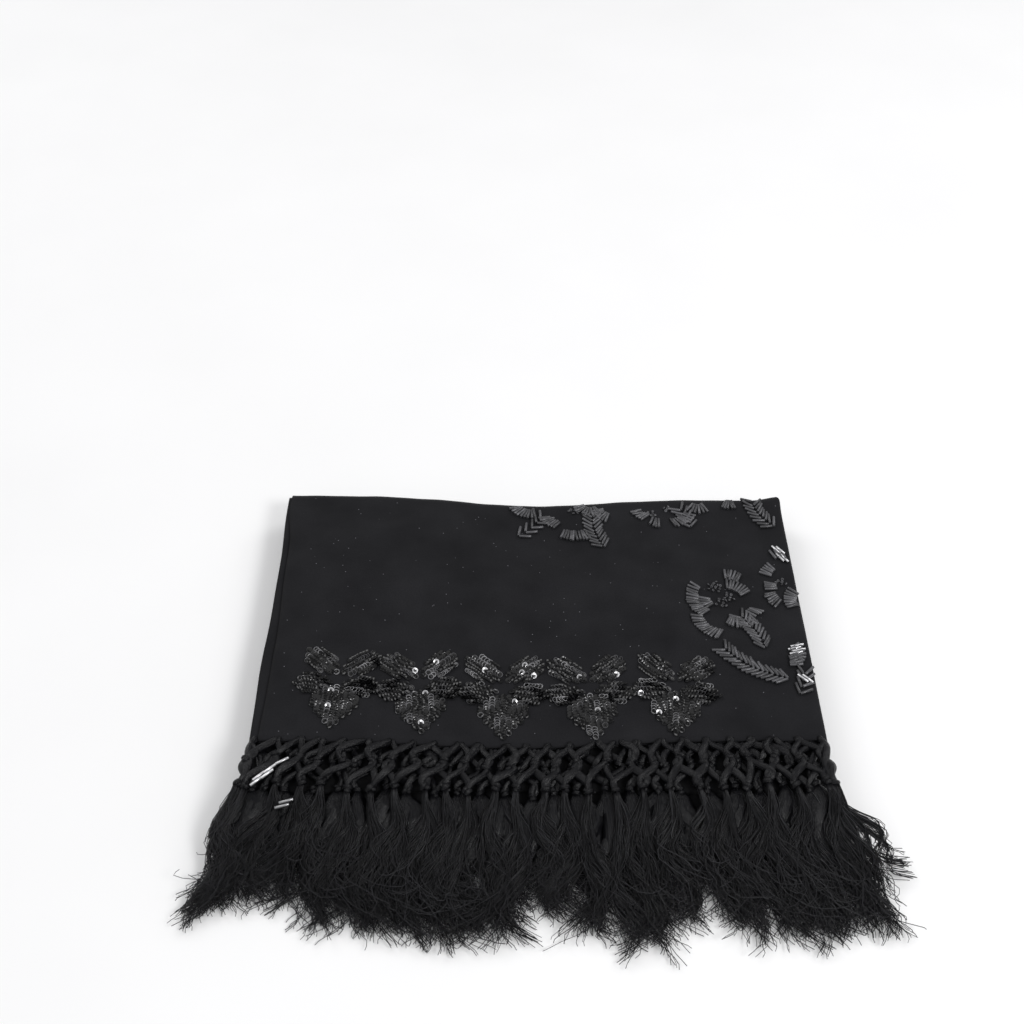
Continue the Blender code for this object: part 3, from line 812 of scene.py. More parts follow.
def knot_paths(places, reaches, chance):
    """Coils round the knots: a circle in the plane square to the bundle, moving on as it turns."""
    share = np.linspace(0, 1, KNOT_STEPS)[:, None]
    slope = drape_slope(reaches)
    forward = side_by_side(0, -np.cos(slope), -np.sin(slope))
    upward = side_by_side(0, -np.sin(slope), np.cos(slope))
    lean = chance.uniform(-0.7, 0.7, len(places))[:, None]
    aside = np.array([1.0, 0.0, 0.0])
    axis = forward * np.cos(lean) + aside * np.sin(lean)
    across = aside * np.cos(lean) - forward * np.sin(lean)
    turn = chance.uniform(0, TAU, (len(places), 1, 1)) + TAU * KNOT_TURNS * share
    round_it = across[:, None] * np.cos(turn) + upward[:, None] * np.sin(turn)
    return places[:, None] + axis[:, None] * (share - 0.5) * KNOT_LENGTH + round_it * KNOT_COIL


# %% [markdown]
# The knots are not quite even, as nobody ties a hundred of them alike. A heading is joined into one mesh,
# since its bundles and coils are one piece of work in one silk.

# %% Make both headings


def make_heading(fringe):
    """One heading: its legs and coils as one mesh. It also returns where the tassels start."""
    chance = np.random.default_rng(fringe["seed"])
    count = fringe["bundles"]

    def uneven(number):
        return chance.uniform(-KNOT_UNEVEN, KNOT_UNEVEN, number)

    xs = (np.arange(count) - (count - 1) / 2) * BUNDLE_PITCH
    knots_1 = xs[:-1] + BUNDLE_PITCH / 2 + net_lean(xs[:-1], NET_LEAN_1) + uneven(count - 1)
    knots_2 = xs + net_lean(xs, NET_LEAN_2) + uneven(count)
    knots_2[[0, -1]] += END_KNOT_IN * np.array([1, -1])
    reach_1 = KNOT_REACH_1 + uneven(count - 1)
    reach_2 = KNOT_REACH_2 + uneven(count)
    bows = chance.normal(0, LEG_BOW, (4, count - 1))
    twists = chance.normal(0, LEG_TWIST, (4, count - 1))
    at_hem = np.full(count - 1, HITCH_START if fringe["hitched"] else UNDER_START)
    ends = np.array([0, count - 1])
    outward = np.array([-1.0, 1.0])
    runs = (
        (xs[:-1] + HEM_APART, at_hem, knots_1, reach_1),
        (xs[1:] - HEM_APART, at_hem, knots_1, reach_1),
        (knots_1, reach_1, knots_2[:-1], reach_2[:-1]),
        (knots_1, reach_1, knots_2[1:], reach_2[1:]),
        (xs[ends], at_hem[:2], knots_2[ends], reach_2[ends]),
    )
    swings = [*zip(bows, twists), (-END_LEG_BOW * outward, END_LEG_TWIST * outward)]
    legs = np.concatenate([leg_paths(fringe, *run, *swing) for run, swing in zip(runs, swings)])
    places = np.concatenate([net_point(fringe, knots_1, reach_1), net_point(fringe, knots_2, reach_2)])
    coils = knot_paths(places, np.concatenate([reach_1, reach_2]), chance)
    swell = 0.55 + 0.45 * arch(np.linspace(0, 1, KNOT_STEPS)) ** 0.35
    coil_radii = KNOT_THREAD * chance.uniform(0.9, 1.12, (len(coils), 1)) * swell
    leg_points, leg_faces = tubes(legs, leg_radii(legs, chance), LEG_SIDES)
    coil_points, coil_faces = tubes(coils, coil_radii, KNOT_SIDES)
    faces = leg_faces + [group + len(leg_points) for group in coil_faces]
    uvs = np.concatenate([tube_uvs(legs, LEG_SIDES), tube_uvs(coils, KNOT_SIDES)])
    points = np.concatenate([leg_points, coil_points])
    piece = mesh_piece(fringe["name"] + "_knotted_heading", points, faces, silk_bundle, uvs=uvs)
    return fringe, piece, knots_2, reach_2


headings = {row["name"]: make_heading(row) for row in table(HEADING_COLUMNS, HEADINGS)}

# %% [markdown]
# ## The tassels
#
# Below its last knot each bundle is left loose. Floss silk falls in locks: threads that keep together, wave
# together and part again at their ends, where they are frayed and curl. So every thread here belongs to a
# lock, and every lock to a tassel, and each level adds its own bend: the tassel sways, its locks spread, and
# the thread strays a little. Near its end a thread turns by a growing angle, which gives the curl. All
# threads are worked out at once, and a thread is a tube with three sides, since it is only a pixel wide.

# %% Values of the tassels
LOCKS = 6
TUFTS = 3
THREAD_STEPS = 18
THREAD_SIDES = 3
THREAD_RADIUS = 0.00029
ROOT_RADIUS = 0.0017
TUFT_SPREAD = 0.0032
LOCK_LEAN = 0.0050
TASSEL_LEAN = 0.0065
THREAD_SPREAD = 0.0024
SWAY = 0.0052
LOCK_WAVE = 0.0032
THREAD_WAVE = 0.0009
LOOSE_SHARE = 0.13
SHORTEST = 0.22
CURL_FROM = 0.66
CRIMP = 0.0011
SIDE_X = 0.160  # the tassels past this hang at the sides, where they keep together
LOWEST_LIFT = 0.0003

# How far forward the ends reach and how far aside, by where the tassel leaves the hem, in millimetres.
ENDS_X_MM = (-184, -172, -152, -130, -100, -66, -34, -8, 12, 46, 78, 90, 112, 150, 172, 184)
ENDS_REACH_MM = (122, 127, 110, 130, 138, 140, 135, 134, 116, 149, 131, 119, 143, 141, 136, 122)
ENDS_ASIDE_MM = (-2, -3, -4, -4, -4, -3, -2, -2, -1, 0, 0, 0, 0, -1, -3, -4)

# Locks that lie apart from their tassel: tassel, lock, how far aside and how much shorter, both in
# millimetres, and how far the end turns, in radians.
STRAY_LOCKS = (
    (25, 5, 21, 44, 1.2), (25, 4, 19, 32, 1.1), (25, 3, 10, 24, 0.8), (24, 5, 0, 8, -0.2), (0, 0, -3, 3, 0.2),
    (0, 1, -1, 0, 0.1), (1, 1, -4, 2, 0.3), (8, 5, 8, 5, 0.6), (10, 5, 9, 6, 0.3), (11, 0, -8, 6, -0.3),
    (14, 0, -8, 10, -0.7), (19, 2, 10, 14, 0.8), (21, 0, -9, 8, -0.6),
)


def along_ends(knots_x, values_mm):
    """One of the ends' values for each tassel, in metres."""
    return np.interp(knots_x, np.array(ENDS_X_MM) * MILLIMETRE, np.array(values_mm) * MILLIMETRE)


def thread_paths(fringe, knots_x, knots_reach, fall, strays):
    """Paths of every thread: places from waves, spreads and a curl, then laid on the slope."""
    chance = np.random.default_rng(fall["seed"])
    tassels = len(knots_x)
    by_lock, by_tuft = (tassels, LOCKS), (tassels, LOCKS, TUFTS)
    tassel = np.repeat(np.arange(tassels), fall["threads"])
    count = len(tassel)
    lock = chance.integers(0, LOCKS, count)
    tuft = chance.integers(0, TUFTS, count)

    def of_tassel(values):
        return values[tassel][:, None]

    def of_lock(values):
        return values[tassel, lock][:, None]

    def of_tuft(values):
        return values[tassel, lock, tuft][:, None]

    # At the sides the locks spread less to the outside and curl inwards.
    beyond = np.abs(knots_x)
    at_side = smooth((beyond - SIDE_X) / 0.02)[:, None]
    to_side = np.sign(knots_x)[:, None]
    lock_aside = np.linspace(-1, 1, LOCKS) + chance.normal(0, 0.22, by_lock)
    lock_aside = lock_aside * np.where(lock_aside * to_side > 0, 1 - 0.75 * at_side, 1.0)
    lock_high = chance.uniform(0.0, 1.0, by_lock)
    lock_phase = chance.uniform(0, TAU, by_lock)
    lock_curl = chance.normal(0, 0.50, by_lock)
    lock_curl = np.where(beyond[:, None] > SIDE_X, -0.5 * np.abs(lock_curl) * to_side, lock_curl)
    lock_shorter = np.abs(chance.normal(0, 0.009, by_lock))
    lock_lean = chance.normal(0, LOCK_LEAN, by_lock)
    tuft_aside = np.linspace(-1, 1, TUFTS) + chance.normal(0, 0.3, by_tuft)
    tuft_curl = chance.normal(0, 0.35, by_tuft)
    tuft_shorter = np.abs(chance.normal(0, 0.006, by_tuft))
    lean = chance.normal(0, TASSEL_LEAN, tassels) * np.clip((0.19 - beyond) / 0.03, 0.25, 1)
    lean = lean * fall["wander"] + along_ends(knots_x, ENDS_ASIDE_MM)
    stray_aside = np.zeros(by_lock)
    for tassel_number, lock_number, aside, shorter, curl in strays:
        stray_aside[tassel_number, lock_number] = aside * MILLIMETRE
        lock_shorter[tassel_number, lock_number] = shorter * MILLIMETRE
        lock_curl[tassel_number, lock_number] = curl

    length = of_tassel(along_ends(knots_x, ENDS_REACH_MM) - knots_reach) - fall["shorter"]
    length = length - of_lock(lock_shorter) - of_tuft(tuft_shorter)
    length = length * (1 - SHORTEST * chance.uniform(0, 1, (count, 1)) ** 1.6)
    loose = chance.uniform(0, 1, (count, 1)) < LOOSE_SHARE
    length = np.where(loose, length * chance.uniform(0.72, 1.12, (count, 1)), length)

    turn = chance.uniform(0, TAU, (count, 1))
    off = np.sqrt(chance.uniform(0, 1, (count, 1)))
    share = 1 - (1 - np.linspace(0, 1, THREAD_STEPS)[None, :]) ** 1.25
    parted = smooth(share / fall["parted_by"])
    held = 1 - smooth(share / fall["parted_by"] / 0.6)
    near_end = smooth((share - 0.55) / 0.35)
    root = ROOT_RADIUS * (1 + 0.6 * of_tassel(at_side[:, 0]))
    aside = off * np.cos(turn) * (root * held + THREAD_SPREAD * (1 - held) * (1 - 0.6 * near_end))
    aside = aside + of_lock(lock_aside) * fall["lock_spread"] * parted
    aside = aside + of_tuft(tuft_aside) * TUFT_SPREAD * smooth((share - 0.35) / 0.5)
    sway_turns = TAU * 1.15 * share + of_tassel(chance.normal(1.0, 1.6, tassels))
    aside = aside + SWAY * smooth(share / 0.35) * np.sin(sway_turns)
    aside = aside + LOCK_WAVE * parted * np.sin(TAU * 2.1 * share + of_lock(lock_phase))
    own_turns = TAU * chance.uniform(2.2, 4.2, (count, 1)) * share + turn
    aside = aside + THREAD_WAVE * np.where(loose, 2.6, 1.0) * parted * np.sin(own_turns)
    aside = aside + of_lock(stray_aside) * share**1.4 + (of_tassel(lean) + of_lock(lock_lean)) * share**1.5

    bend = of_lock(lock_curl) + of_tuft(tuft_curl) + chance.normal(0, 0.22, (count, 1))
    wild = 3.0 * (1 - 0.75 * of_tassel(at_side[:, 0]))
    bend = bend + np.where(loose, chance.normal(0, 1, (count, 1)) * wild, 0.0)
    heading = bend * smooth((share - CURL_FROM) / (1 - CURL_FROM)) ** 1.3
    crimp_turns = TAU * chance.uniform(5.0, 8.0, (count, 1)) * share + 3 * turn
    pace = np.diff(share, axis=1, prepend=0.0) * length
    aside = aside + CRIMP * near_end * np.sin(crimp_turns) + np.cumsum(np.sin(heading) * pace, axis=1)
    reach = of_tassel(knots_reach) + np.cumsum(np.cos(heading) * pace, axis=1)

    thick = 0.0021 + 0.0011 * of_lock(lock_high)
    lift = fringe["lift"] * (1 - 0.55 * smooth((share - 0.45) / 0.5))
    lift = lift + off * np.sin(turn) * (ROOT_RADIUS * held + thick * (1 - held))
    lift = lift + np.where(loose, chance.uniform(0, 0.006, (count, 1)), 0.0) * smooth((share - 0.3) / 0.7)
    lift = lift + 0.0008 * parted * np.sin(TAU * 1.6 * share + of_lock(lock_phase) * 2)
    path = fringe_point(of_tassel(knots_x), reach, np.maximum(lift, LOWEST_LIFT))
    path[..., 0] += aside
    radius = THREAD_RADIUS * (1 - 0.2 * share) * chance.uniform(0.8, 1.15, (count, 1))
    tints = np.clip(chance.normal(0.26, 0.16, count) + np.where(loose[:, 0], 0.35, 0.0), 0, 1)
    return path, radius, tints, tassel * LOCKS + lock


# %% [markdown]
# Inside a lock the threads lie so close that nothing shows between them. Each lock therefore has a core, a
# flattened tube along the mean of its threads' paths, with the same fine stripes as the bundles. It is
# widest a third of the way down and ends before the threads do, so only loose threads are left there.

# %% Cores of the locks
CORE_STEPS = 12
CORE_SIDES = 8
CORE_FLATNESS = 0.5
CORE_WIDTH = 0.0021
CORE_STRIPES = 2.4  # how many times as fine as on the bundles


def core_paths(paths, locks):
    """The mean path of each lock's threads, as far as the cores go."""
    numbers, group, threads = np.unique(locks, return_inverse=True, return_counts=True)
    total = np.zeros((len(numbers), *paths.shape[1:]))
    np.add.at(total, group, paths)
    return (total / threads[:, None, None])[:, :CORE_STEPS]


def core_radii(count, width, chance):
    """An oval section: the radius towards each corner of an ellipse, which swells and then tapers."""
    share = np.linspace(0, 1, CORE_STEPS)
    swell = 0.42 + 0.75 * arch(share**0.72)
    swell = np.where(share > 0.5, swell * (1 - 0.6 * smooth((share - 0.5) / 0.5)), swell)
    turn = round_circle(CORE_SIDES)
    oval = 1 / np.sqrt(np.cos(turn) ** 2 + (np.sin(turn) / CORE_FLATNESS) ** 2)
    return width * chance.uniform(0.75, 1.15, (count, 1, 1)) * swell[:, None] * oval


# %% [markdown]
# Threads make up most of the detail of the scarf. The upper tassels show most and have twice the threads of
# the under ones, which are seen between them and part sooner.

# %% Make the tassels
FALL_COLUMNS = "threads parted_by wander lock_spread shorter core seed"
FALLS = ((122, 0.50, 1.0, 0.0056, 0.0, CORE_WIDTH, 21), (58, 0.20, 0.3, 0.0074, 0.006, 2.5 * CORE_WIDTH, 22))
TASSELS_A_PIECE = 9


def make_tassels(name, fall, strays):
    """The tassels of one fringe, a few to each mesh so that none gets too heavy, and their cores."""
    fringe, _, knots_x, knots_reach = headings[name]
    paths, radii, tints, locks = thread_paths(fringe, knots_x, knots_reach, fall, strays)
    cores = core_paths(paths, locks)
    widths = core_radii(len(cores), fall["core"], np.random.default_rng(fall["seed"]))
    points, faces = tubes(cores, widths, CORE_SIDES)
    core_uvs = tube_uvs(cores, CORE_SIDES) * np.array([1.0, CORE_STRIPES])
    pieces = [mesh_piece(f"{name}_tassel_cores", points, faces, silk_bundle, uvs=core_uvs)]
    step = TASSELS_A_PIECE * fall["threads"]
    for number, first in enumerate(range(0, len(paths), step)):
        part = slice(first, first + step)
        points, faces = tubes(paths[part], radii[part], THREAD_SIDES)
        shade = np.repeat(tints[part], THREAD_STEPS * THREAD_SIDES)
        pieces.append(mesh_piece(f"{name}_tassels_{number + 1}", points, faces, silk_thread, tints=shade))
    return pieces


upper_fall, under_fall = table(FALL_COLUMNS, FALLS)
upper_tassels = make_tassels("upper", upper_fall, STRAY_LOCKS)
under_tassels = make_tassels("under", under_fall, ())
for piece in [headings["upper"][1], *upper_tassels]:
    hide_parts("upper_fringe")
for piece in [headings["under"][1], *under_tassels]:
    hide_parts("under_fringe")

# %% [markdown]
# ## Small things sewn to the cloth
#
# A sequin or a bead is modelled once, as a profile turned round an axis, with only a few dozen faces. It is
# then copied by arithmetic: each copy has a place on the cloth and three directions, and multiplying the
# shape by those directions turns it into place. The directions follow the slope of the cloth, so beads on
# the fold wrap round it.

# %% Helpers for beads and sequins


def turned_shape(radii, heights, sides):
    """A closed ring-like shape: the profile's radii and heights turned round the third axis."""
    side, angle = np.arange(sides), round_circle(sides)
    radii, heights = np.array(radii)[:, None] * MILLIMETRE, np.array(heights)[:, None] * MILLIMETRE
    points = side_by_side(radii * np.cos(angle), radii * np.sin(angle), heights)
    last, beside = (len(radii) - 1) * sides, (side + 1) % sides
    closing = side_by_side(last + side, last + beside, beside, side)
    faces = grid_faces(len(radii), sides, closed=True)
    return points.reshape(-1, 3), np.concatenate([faces, closing])


def cloth_frames(rows, tilt, roll, lift):
    """Places and directions on the cloth: along the angle, raised by the tilt, and then rolled. rows holds
    x, y and the angle. Lengths are in millimetres."""
    x, y, angle = rows[0] * MILLIMETRE, rows[1] * MILLIMETRE, rows[2]
    tilt, roll, lift = (np.broadcast_to(value, x.shape)[:, None] for value in (tilt, roll, lift))
    step = 0.5 * MILLIMETRE
    slope_x = (face_height(x + step, y) - face_height(x - step, y)) / (2 * step)
    slope_y = (face_height(x, y + step) - face_height(x, y - step)) / (2 * step)
    upright = unit(side_by_side(-slope_x, -slope_y, 1.0))
    climb = slope_x * np.cos(angle) + slope_y * np.sin(angle)
    forward = unit(side_by_side(np.cos(angle), np.sin(angle), climb))
    aside = np.cross(upright, forward)
    places = side_by_side(x, y, face_height(x, y)) + upright * lift * MILLIMETRE
    raised = forward * np.cos(tilt) + upright * np.sin(tilt)
    normal = upright * np.cos(tilt) - forward * np.sin(tilt)
    rolled = aside * np.cos(roll) + normal * np.sin(roll)
    return places, np.stack([raised, rolled, normal * np.cos(roll) - aside * np.sin(roll)], axis=1)


def scattered(name, shape, places, directions, material, tints):
    """Copies of one shape as a single mesh: each copy's points times its directions, plus its place.
    tints has a value for each copy, or one for each of its points."""
    shape_points, shape_faces = shape
    points = np.einsum("pk,nkc->npc", shape_points, directions) + places[:, None]
    starts = (np.arange(len(places)) * len(shape_points))[:, None, None]
    faces = (shape_faces[None] + starts).reshape(-1, shape_faces.shape[1])
    point_tints = np.broadcast_to(tints if tints.ndim == 2 else tints[:, None], points.shape[:2])
    piece = mesh_piece(name, points, [faces], material, tints=point_tints.ravel())
    piece.data.set_sharp_from_angle(angle=math.radians(42))


# %% [markdown]
# ## Flowers in sequins
#
# Five flowers stand in a row above the hem. Each has two tall petals, two round side petals and a long
# pointed lip. A petal is filled with rows of sequins along its axis, each sequin lying on the one before, as
# on roof tiles, so it is raised at one edge. The width of a petal is a power of a sine, which gives a shape
# that is round at its end and narrow at its foot. A petal never lies quite flat, so its sequins tilt by
# patches, and the same patches get painted highlights on their edges where they are meant to catch the
# light. Here and there a few neighbours in a row get brighter painted rims, and the lips get less. Single
# sequins flash white on the real scarf. Black film comes out too grey for that here, so these few get the
# painted glint of the bright beads and are turned so that one side of the cup faces halfway between the eye
# and the lamp.

# %% Make the sequin flowers
SEQUIN_STEP = 2.25
SEQUIN_ROW = 3.7
SEQUIN_SIDES = 10
GLINT_SHARE = 0.013
BRIGHT_SHARE = 0.022
BRIGHT_RUN = 4
CUP_SLOPE = math.radians(10)
LAMP_PLACE = (1.0, -1.1, 1.5)
FLOWER_COLUMNS = "x y turn size"
SEQUIN_FLOWERS = (
    (-134, -45, -5, 0.97), (-79, -48.5, 3, 1.00), (-22, -52.5, -2, 1.02), (35.5, -53, 2.5, 1.00),
    (94, -51.5, -6, 0.98),
)
PETAL_COLUMNS = "x y end_x end_y width widest"
PETALS = (
    (1, 5, 25, 25, 19, 1.35), (-1, 5, -26, 25, 19, 1.35), (3, -3, 30, -6, 17, 1.30),
    (-3, -3, -30, -6, 17, 1.30), (1, -43, 0, -7, 32, 1.70),
)
LIP_Y = -12  # the sequins in front of this are those of the lip
sequin_radii, sequin_heights = (0.45, 1.45, 2.05, 2.05, 1.2), (0.06, 0.09, 0.30, 0.18, -0.04)
sequin_points, sequin_faces = turned_shape(sequin_radii, sequin_heights, SEQUIN_SIDES)
# The profile runs over the top and back underneath, so it is turned the other way to face outwards.
sequin_shape = (sequin_points, sequin_faces[:, ::-1])


def turned(across, onward, cosine, sine):
    """Distances across and onward, turned by an angle."""
    return across * cosine - onward * sine, across * sine + onward * cosine


def petal_places(petal):
    """Rows along a petal's axis, kept where they are nearer to it than the petal's half width."""
    start, end = np.array([petal["x"], petal["y"]]), np.array([petal["end_x"], petal["end_y"]])
    length = np.linalg.norm(end - start)
    rows = int(petal["width"] / SEQUIN_ROW / 2 + 1)
    along, aside = np.meshgrid(np.arange(1.0, length, SEQUIN_STEP), np.arange(-rows, rows + 1) * SEQUIN_ROW)
    along = along + (np.arange(2 * rows + 1) % 2)[:, None] * SEQUIN_STEP / 2
    share = np.clip(along / length, 0, 1)
    half_width = petal["width"] / 2 * arch(share ** petal["widest"]) ** 0.65
    keep = (np.abs(aside) <= half_width) & (along < length)
    axis = (end - start) / length
    x, y = turned(along[keep], aside[keep], *axis)
    return np.stack([start[0] + x, start[1] + y, np.full(keep.sum(), math.atan2(axis[1], axis[0]))])


motif = np.concatenate([petal_places(petal) for petal in table(PETAL_COLUMNS, PETALS)], axis=1)
flowers = []
for flower in table(FLOWER_COLUMNS, SEQUIN_FLOWERS):
    turn = math.radians(flower["turn"])
    x, y = turned(motif[0], motif[1], math.cos(turn), math.sin(turn))
    flowers.append([flower["x"] + flower["size"] * x, flower["y"] + flower["size"] * y, motif[2] + turn])
sequins = np.concatenate(flowers, axis=1)
chance = np.random.default_rng(31)
count = sequins.shape[1]
sequins[:2] += chance.normal(0, 0.12, (2, count))
x, y = sequins[:2]
patch = np.sin(x / 3.1 + 3 * np.sin(y / 6.7)) * np.cos(y / 4.3)
patch_aside = np.sin(y / 3.9 + 2 * np.sin(x / 5.8))
glinting = chance.uniform(0, 1, count) < GLINT_SHARE
# Runs of neighbours in a row whose rims get a brighter painted highlight.
run_starts = chance.uniform(0, 1, count) < BRIGHT_SHARE
in_run = np.convolve(run_starts, np.ones(BRIGHT_RUN))[:count] > 0
in_lip = np.tile(motif[1] < LIP_Y, len(SEQUIN_FLOWERS))
sequins[2] += chance.normal(0, 0.1, count)
tilt = math.radians(15) + math.radians(11) * patch + chance.normal(0, math.radians(2), count)
roll = math.radians(15) * patch_aside + chance.normal(0, math.radians(3), count)
lift = 0.7 + chance.uniform(0, 0.3, count) + 0.2 * glinting
places, directions = cloth_frames(sequins, tilt=tilt, roll=roll, lift=lift)
halfway = unit(unit(np.array(VIEW_PLACE) - places) + unit(np.array(LAMP_PLACE) - places))
level = unit(np.cross((0.0, 1.0, 0.0), halfway))
turn = chance.uniform(0, TAU, (count, 1))
aside = level * np.cos(turn) + np.cross(halfway, level) * np.sin(turn)
normal = halfway * math.cos(CUP_SLOPE) + aside * math.sin(CUP_SLOPE)
level = unit(np.cross((0.0, 1.0, 0.0), normal))
facing = np.stack([level, np.cross(normal, level), normal], axis=1)
directions = np.where(glinting[:, None, None], facing, directions)
# Painted highlight on each sequin's edge: paler on the patches meant to catch the light, brighter in runs,
# less on the lips.
shine = np.clip(-0.10 + 0.66 * patch + chance.normal(0, 0.10, count), 0.0, 0.85)
shine = np.where(in_run, chance.uniform(0.75, 1.0, count), shine) * np.where(in_lip, 0.75, 1.0)
painted_rim = np.repeat((0.0, 0.0, 1.0, 1.0, 0.0), SEQUIN_SIDES)
painted_glint_rim = np.repeat((0.0, 0.5, 1.0, 1.0, 0.0), SEQUIN_SIDES)
tints = np.where(glinting[:, None], painted_glint_rim, shine[:, None] * painted_rim)
kinds = (("sequin_flowers", ~glinting, sequin_film), ("glinting_sequins", glinting, painted_glint))
for name, chosen, film in kinds:
    scattered(name, sequin_shape, places[chosen], directions[chosen], film, tints[chosen])
print("sequins:", count)

# %% [markdown]
# ## Sprays in long glass beads
#
# Long tube beads are sewn side by side, like satin stitches. A petal is an arc of beads that all point to
# the flower's middle. A leaf is a herringbone: beads lean outwards from both sides of its midrib. Small
# round beads fill the middle of each flower. The flowers and leaves here are plain ones, set in the places
# that the sprays take on the real scarf, on the right of the panel and along its back.

# %% Make the bead sprays
BEAD_LENGTH = 9.2
BEAD_STEP = 2.15
BEAD_SIDES = 8
BEAD_RADIUS = 1.08
ARC_COLUMNS = "x y radius end_radius turn end_turn"
BEAD_ARCS = (
    (134, 25, 25, 17, 138, 214), (134, 27, 13, 12, 168, 205), (136, 8, 22, 15, 168, 240),
    (137, 25, 19, 17, 84, 34), (136, 27, 27, 26, 84, 62), (142, 22, 15, 19, 246, 312),
    (141, 24, 15, 18, 322, 342), (184, 44, 20, 19, 122, 150), (184, 40, 14, 14, 164, 186),
    (184, 38, 16, 18, 196, 232), (186, 58, 14, 18, 98, 122), (168, -24, 13, 13, -22, 34),
    (160, -34, 18, 20, 2, 28), (196, 26, 14, 14, 140, 200), (28, 119, 21, 18, 196, 232),
    (29, 118, 24, 26, 252, 296), (60, 124, 12, 12, 196, 250), (44, 128, 10, 9, 200, 300),
    (94, 123, 16, 13, 190, 224), (95, 123, 15, 16, 248, 268), (96, 124, 19, 24, 300, 342),
    (126, 132, 10, 9, 230, 300), (150, 136, 9, 9, 240, 290), (-2, 128, 13, 11, 200, 282),
)
LEAF_COLUMNS = "x y tip_x tip_y bow lean beads"
BEAD_LEAVES = (
    (146, 10, 159, -19, 2, 40, 10), (131, -20, 172, -46, -4, 40, 15), (182, -42, 176, -60, 1, 36, 4),
    (44, 113, 52, 80, -2, 44, 10), (6, 111, -12, 92, 1, 40, 5), (168, 130, 181, 102, -3, 46, 9),
    (112, 120, 118, 102, 1, 42, 5),
)
SEED_COLUMNS = "x y reach beads"
SEED_CLUSTERS = (
    (130, 41, 5.5, 13), (139, 31, 4.5, 8), (133, 25, 5.0, 7), (178, 45, 4.0, 6), (89, 118, 4.0, 6),
    (101, 123, 3.0, 4), (30, 120, 4.0, 6),
)


def arc_beads(arc):
    """Beads side by side on an arc, each pointing to its middle. The radius changes evenly along it."""
    turn, end_turn = math.radians(arc["turn"]), math.radians(arc["end_turn"])
    mean = (arc["radius"] + arc["end_radius"]) / 2
    beads = max(2, round(abs(end_turn - turn) * mean / BEAD_STEP) + 1)
    angle = np.linspace(turn, end_turn, beads)
    radius = np.linspace(arc["radius"], arc["end_radius"], beads)
    return np.stack([arc["x"] + radius * np.cos(angle), arc["y"] + radius * np.sin(angle), angle])


def leaf_beads(leaf):
    """A herringbone: pairs of beads that lean back from a bowed midrib, like the barbs of a feather."""
    share = np.linspace(0.02, 0.98, leaf["beads"])
    run_x, run_y = leaf["tip_x"] - leaf["x"], leaf["tip_y"] - leaf["y"]
    length = math.hypot(run_x, run_y)
    aside = leaf["bow"] * arch(share)
    rib_x = leaf["x"] + run_x * share - run_y / length * aside
    rib_y = leaf["y"] + run_y * share + run_x / length * aside
    rib_turn = math.atan2(run_y, run_x) + leaf["bow"] * math.pi / length * np.cos(math.pi * share)
    lean = math.pi - math.radians(leaf["lean"])
    angle = np.concatenate([rib_turn - lean, rib_turn + lean])
    out = BEAD_LENGTH / 2 + 0.7
    return np.stack([np.tile(rib_x, 2) + out * np.cos(angle), np.tile(rib_y, 2) + out * np.sin(angle), angle])


def seed_beads(cluster, chance):
    """Round beads in a spiral like that on a sunflower's head: each turns 137.5 degrees from the last."""
    number = np.arange(cluster["beads"])
    radius = cluster["reach"] * np.sqrt((number + 0.5) / cluster["beads"])
    angle = number * math.radians(137.5)
    jitter = chance.normal(0, 0.3, (2, len(number)))
    x = cluster["x"] + radius * np.cos(angle) + jitter[0]
    y = cluster["y"] + radius * np.sin(angle) + jitter[1]
    return np.stack([x, y, chance.uniform(0, TAU, len(number))])


bead_rows = [arc_beads(arc) for arc in table(ARC_COLUMNS, BEAD_ARCS)]
bead_rows += [leaf_beads(leaf) for leaf in table(LEAF_COLUMNS, BEAD_LEAVES)]
beads = np.concatenate(bead_rows, axis=1)
chance = np.random.default_rng(37)
beads = beads + chance.normal(0, 1, beads.shape) * np.array([[0.25], [0.25], [math.radians(3.5)]])
furthest_x = (FOLD_X + 0.75 * FOLD_RADIUS) / MILLIMETRE
back_limit = (curl_start(beads[0] * MILLIMETRE) + 0.7 * CURL_RADIUS) / MILLIMETRE
beads = beads[:, (beads[0] < furthest_x) & (beads[1] < back_limit)]
count = beads.shape[1]
half = BEAD_LENGTH / 2
bead_radii = (0.42, 0.92, BEAD_RADIUS, BEAD_RADIUS, 0.92, 0.42)
bead_heights = (half - 0.1, half, half - 0.2, 0.2 - half, -half, 0.1 - half)
bead_points, bead_faces = turned_shape(bead_radii, bead_heights, BEAD_SIDES)
# A bead lies along the first axis, not upright.
bead_shape = (bead_points[:, [2, 0, 1]], bead_faces[:, ::-1])
tilt = chance.normal(0, math.radians(3), count)
places, directions = cloth_frames(beads, tilt=tilt, roll=0.0, lift=BEAD_RADIUS)
directions[:, 0] *= chance.uniform(0.94, 1.03, (count, 1))
scattered("bugle_bead_sprays", bead_shape, places, directions, bugle_glass, chance.uniform(0, 1, count))

# %% [markdown]
# A few beads catch the light fully, where the spray turns over the fold and where a spray of the layer below
# comes up between the bundles at the left. They lie here as short rows, and their glint is painted: a pale
# colour along the top of each tube, dark towards both sides.

# %% Make the bright beads
LIT_COLUMNS = "x y turn beads glow"
LIT_ON_CLOTH = (
    (180.5, 77, -55, 2, 1.0), (182.5, 69, -60, 2, 0.9), (180, -20, 8, 4, 1.0), (182, -46, -48, 2, 1.0),
)
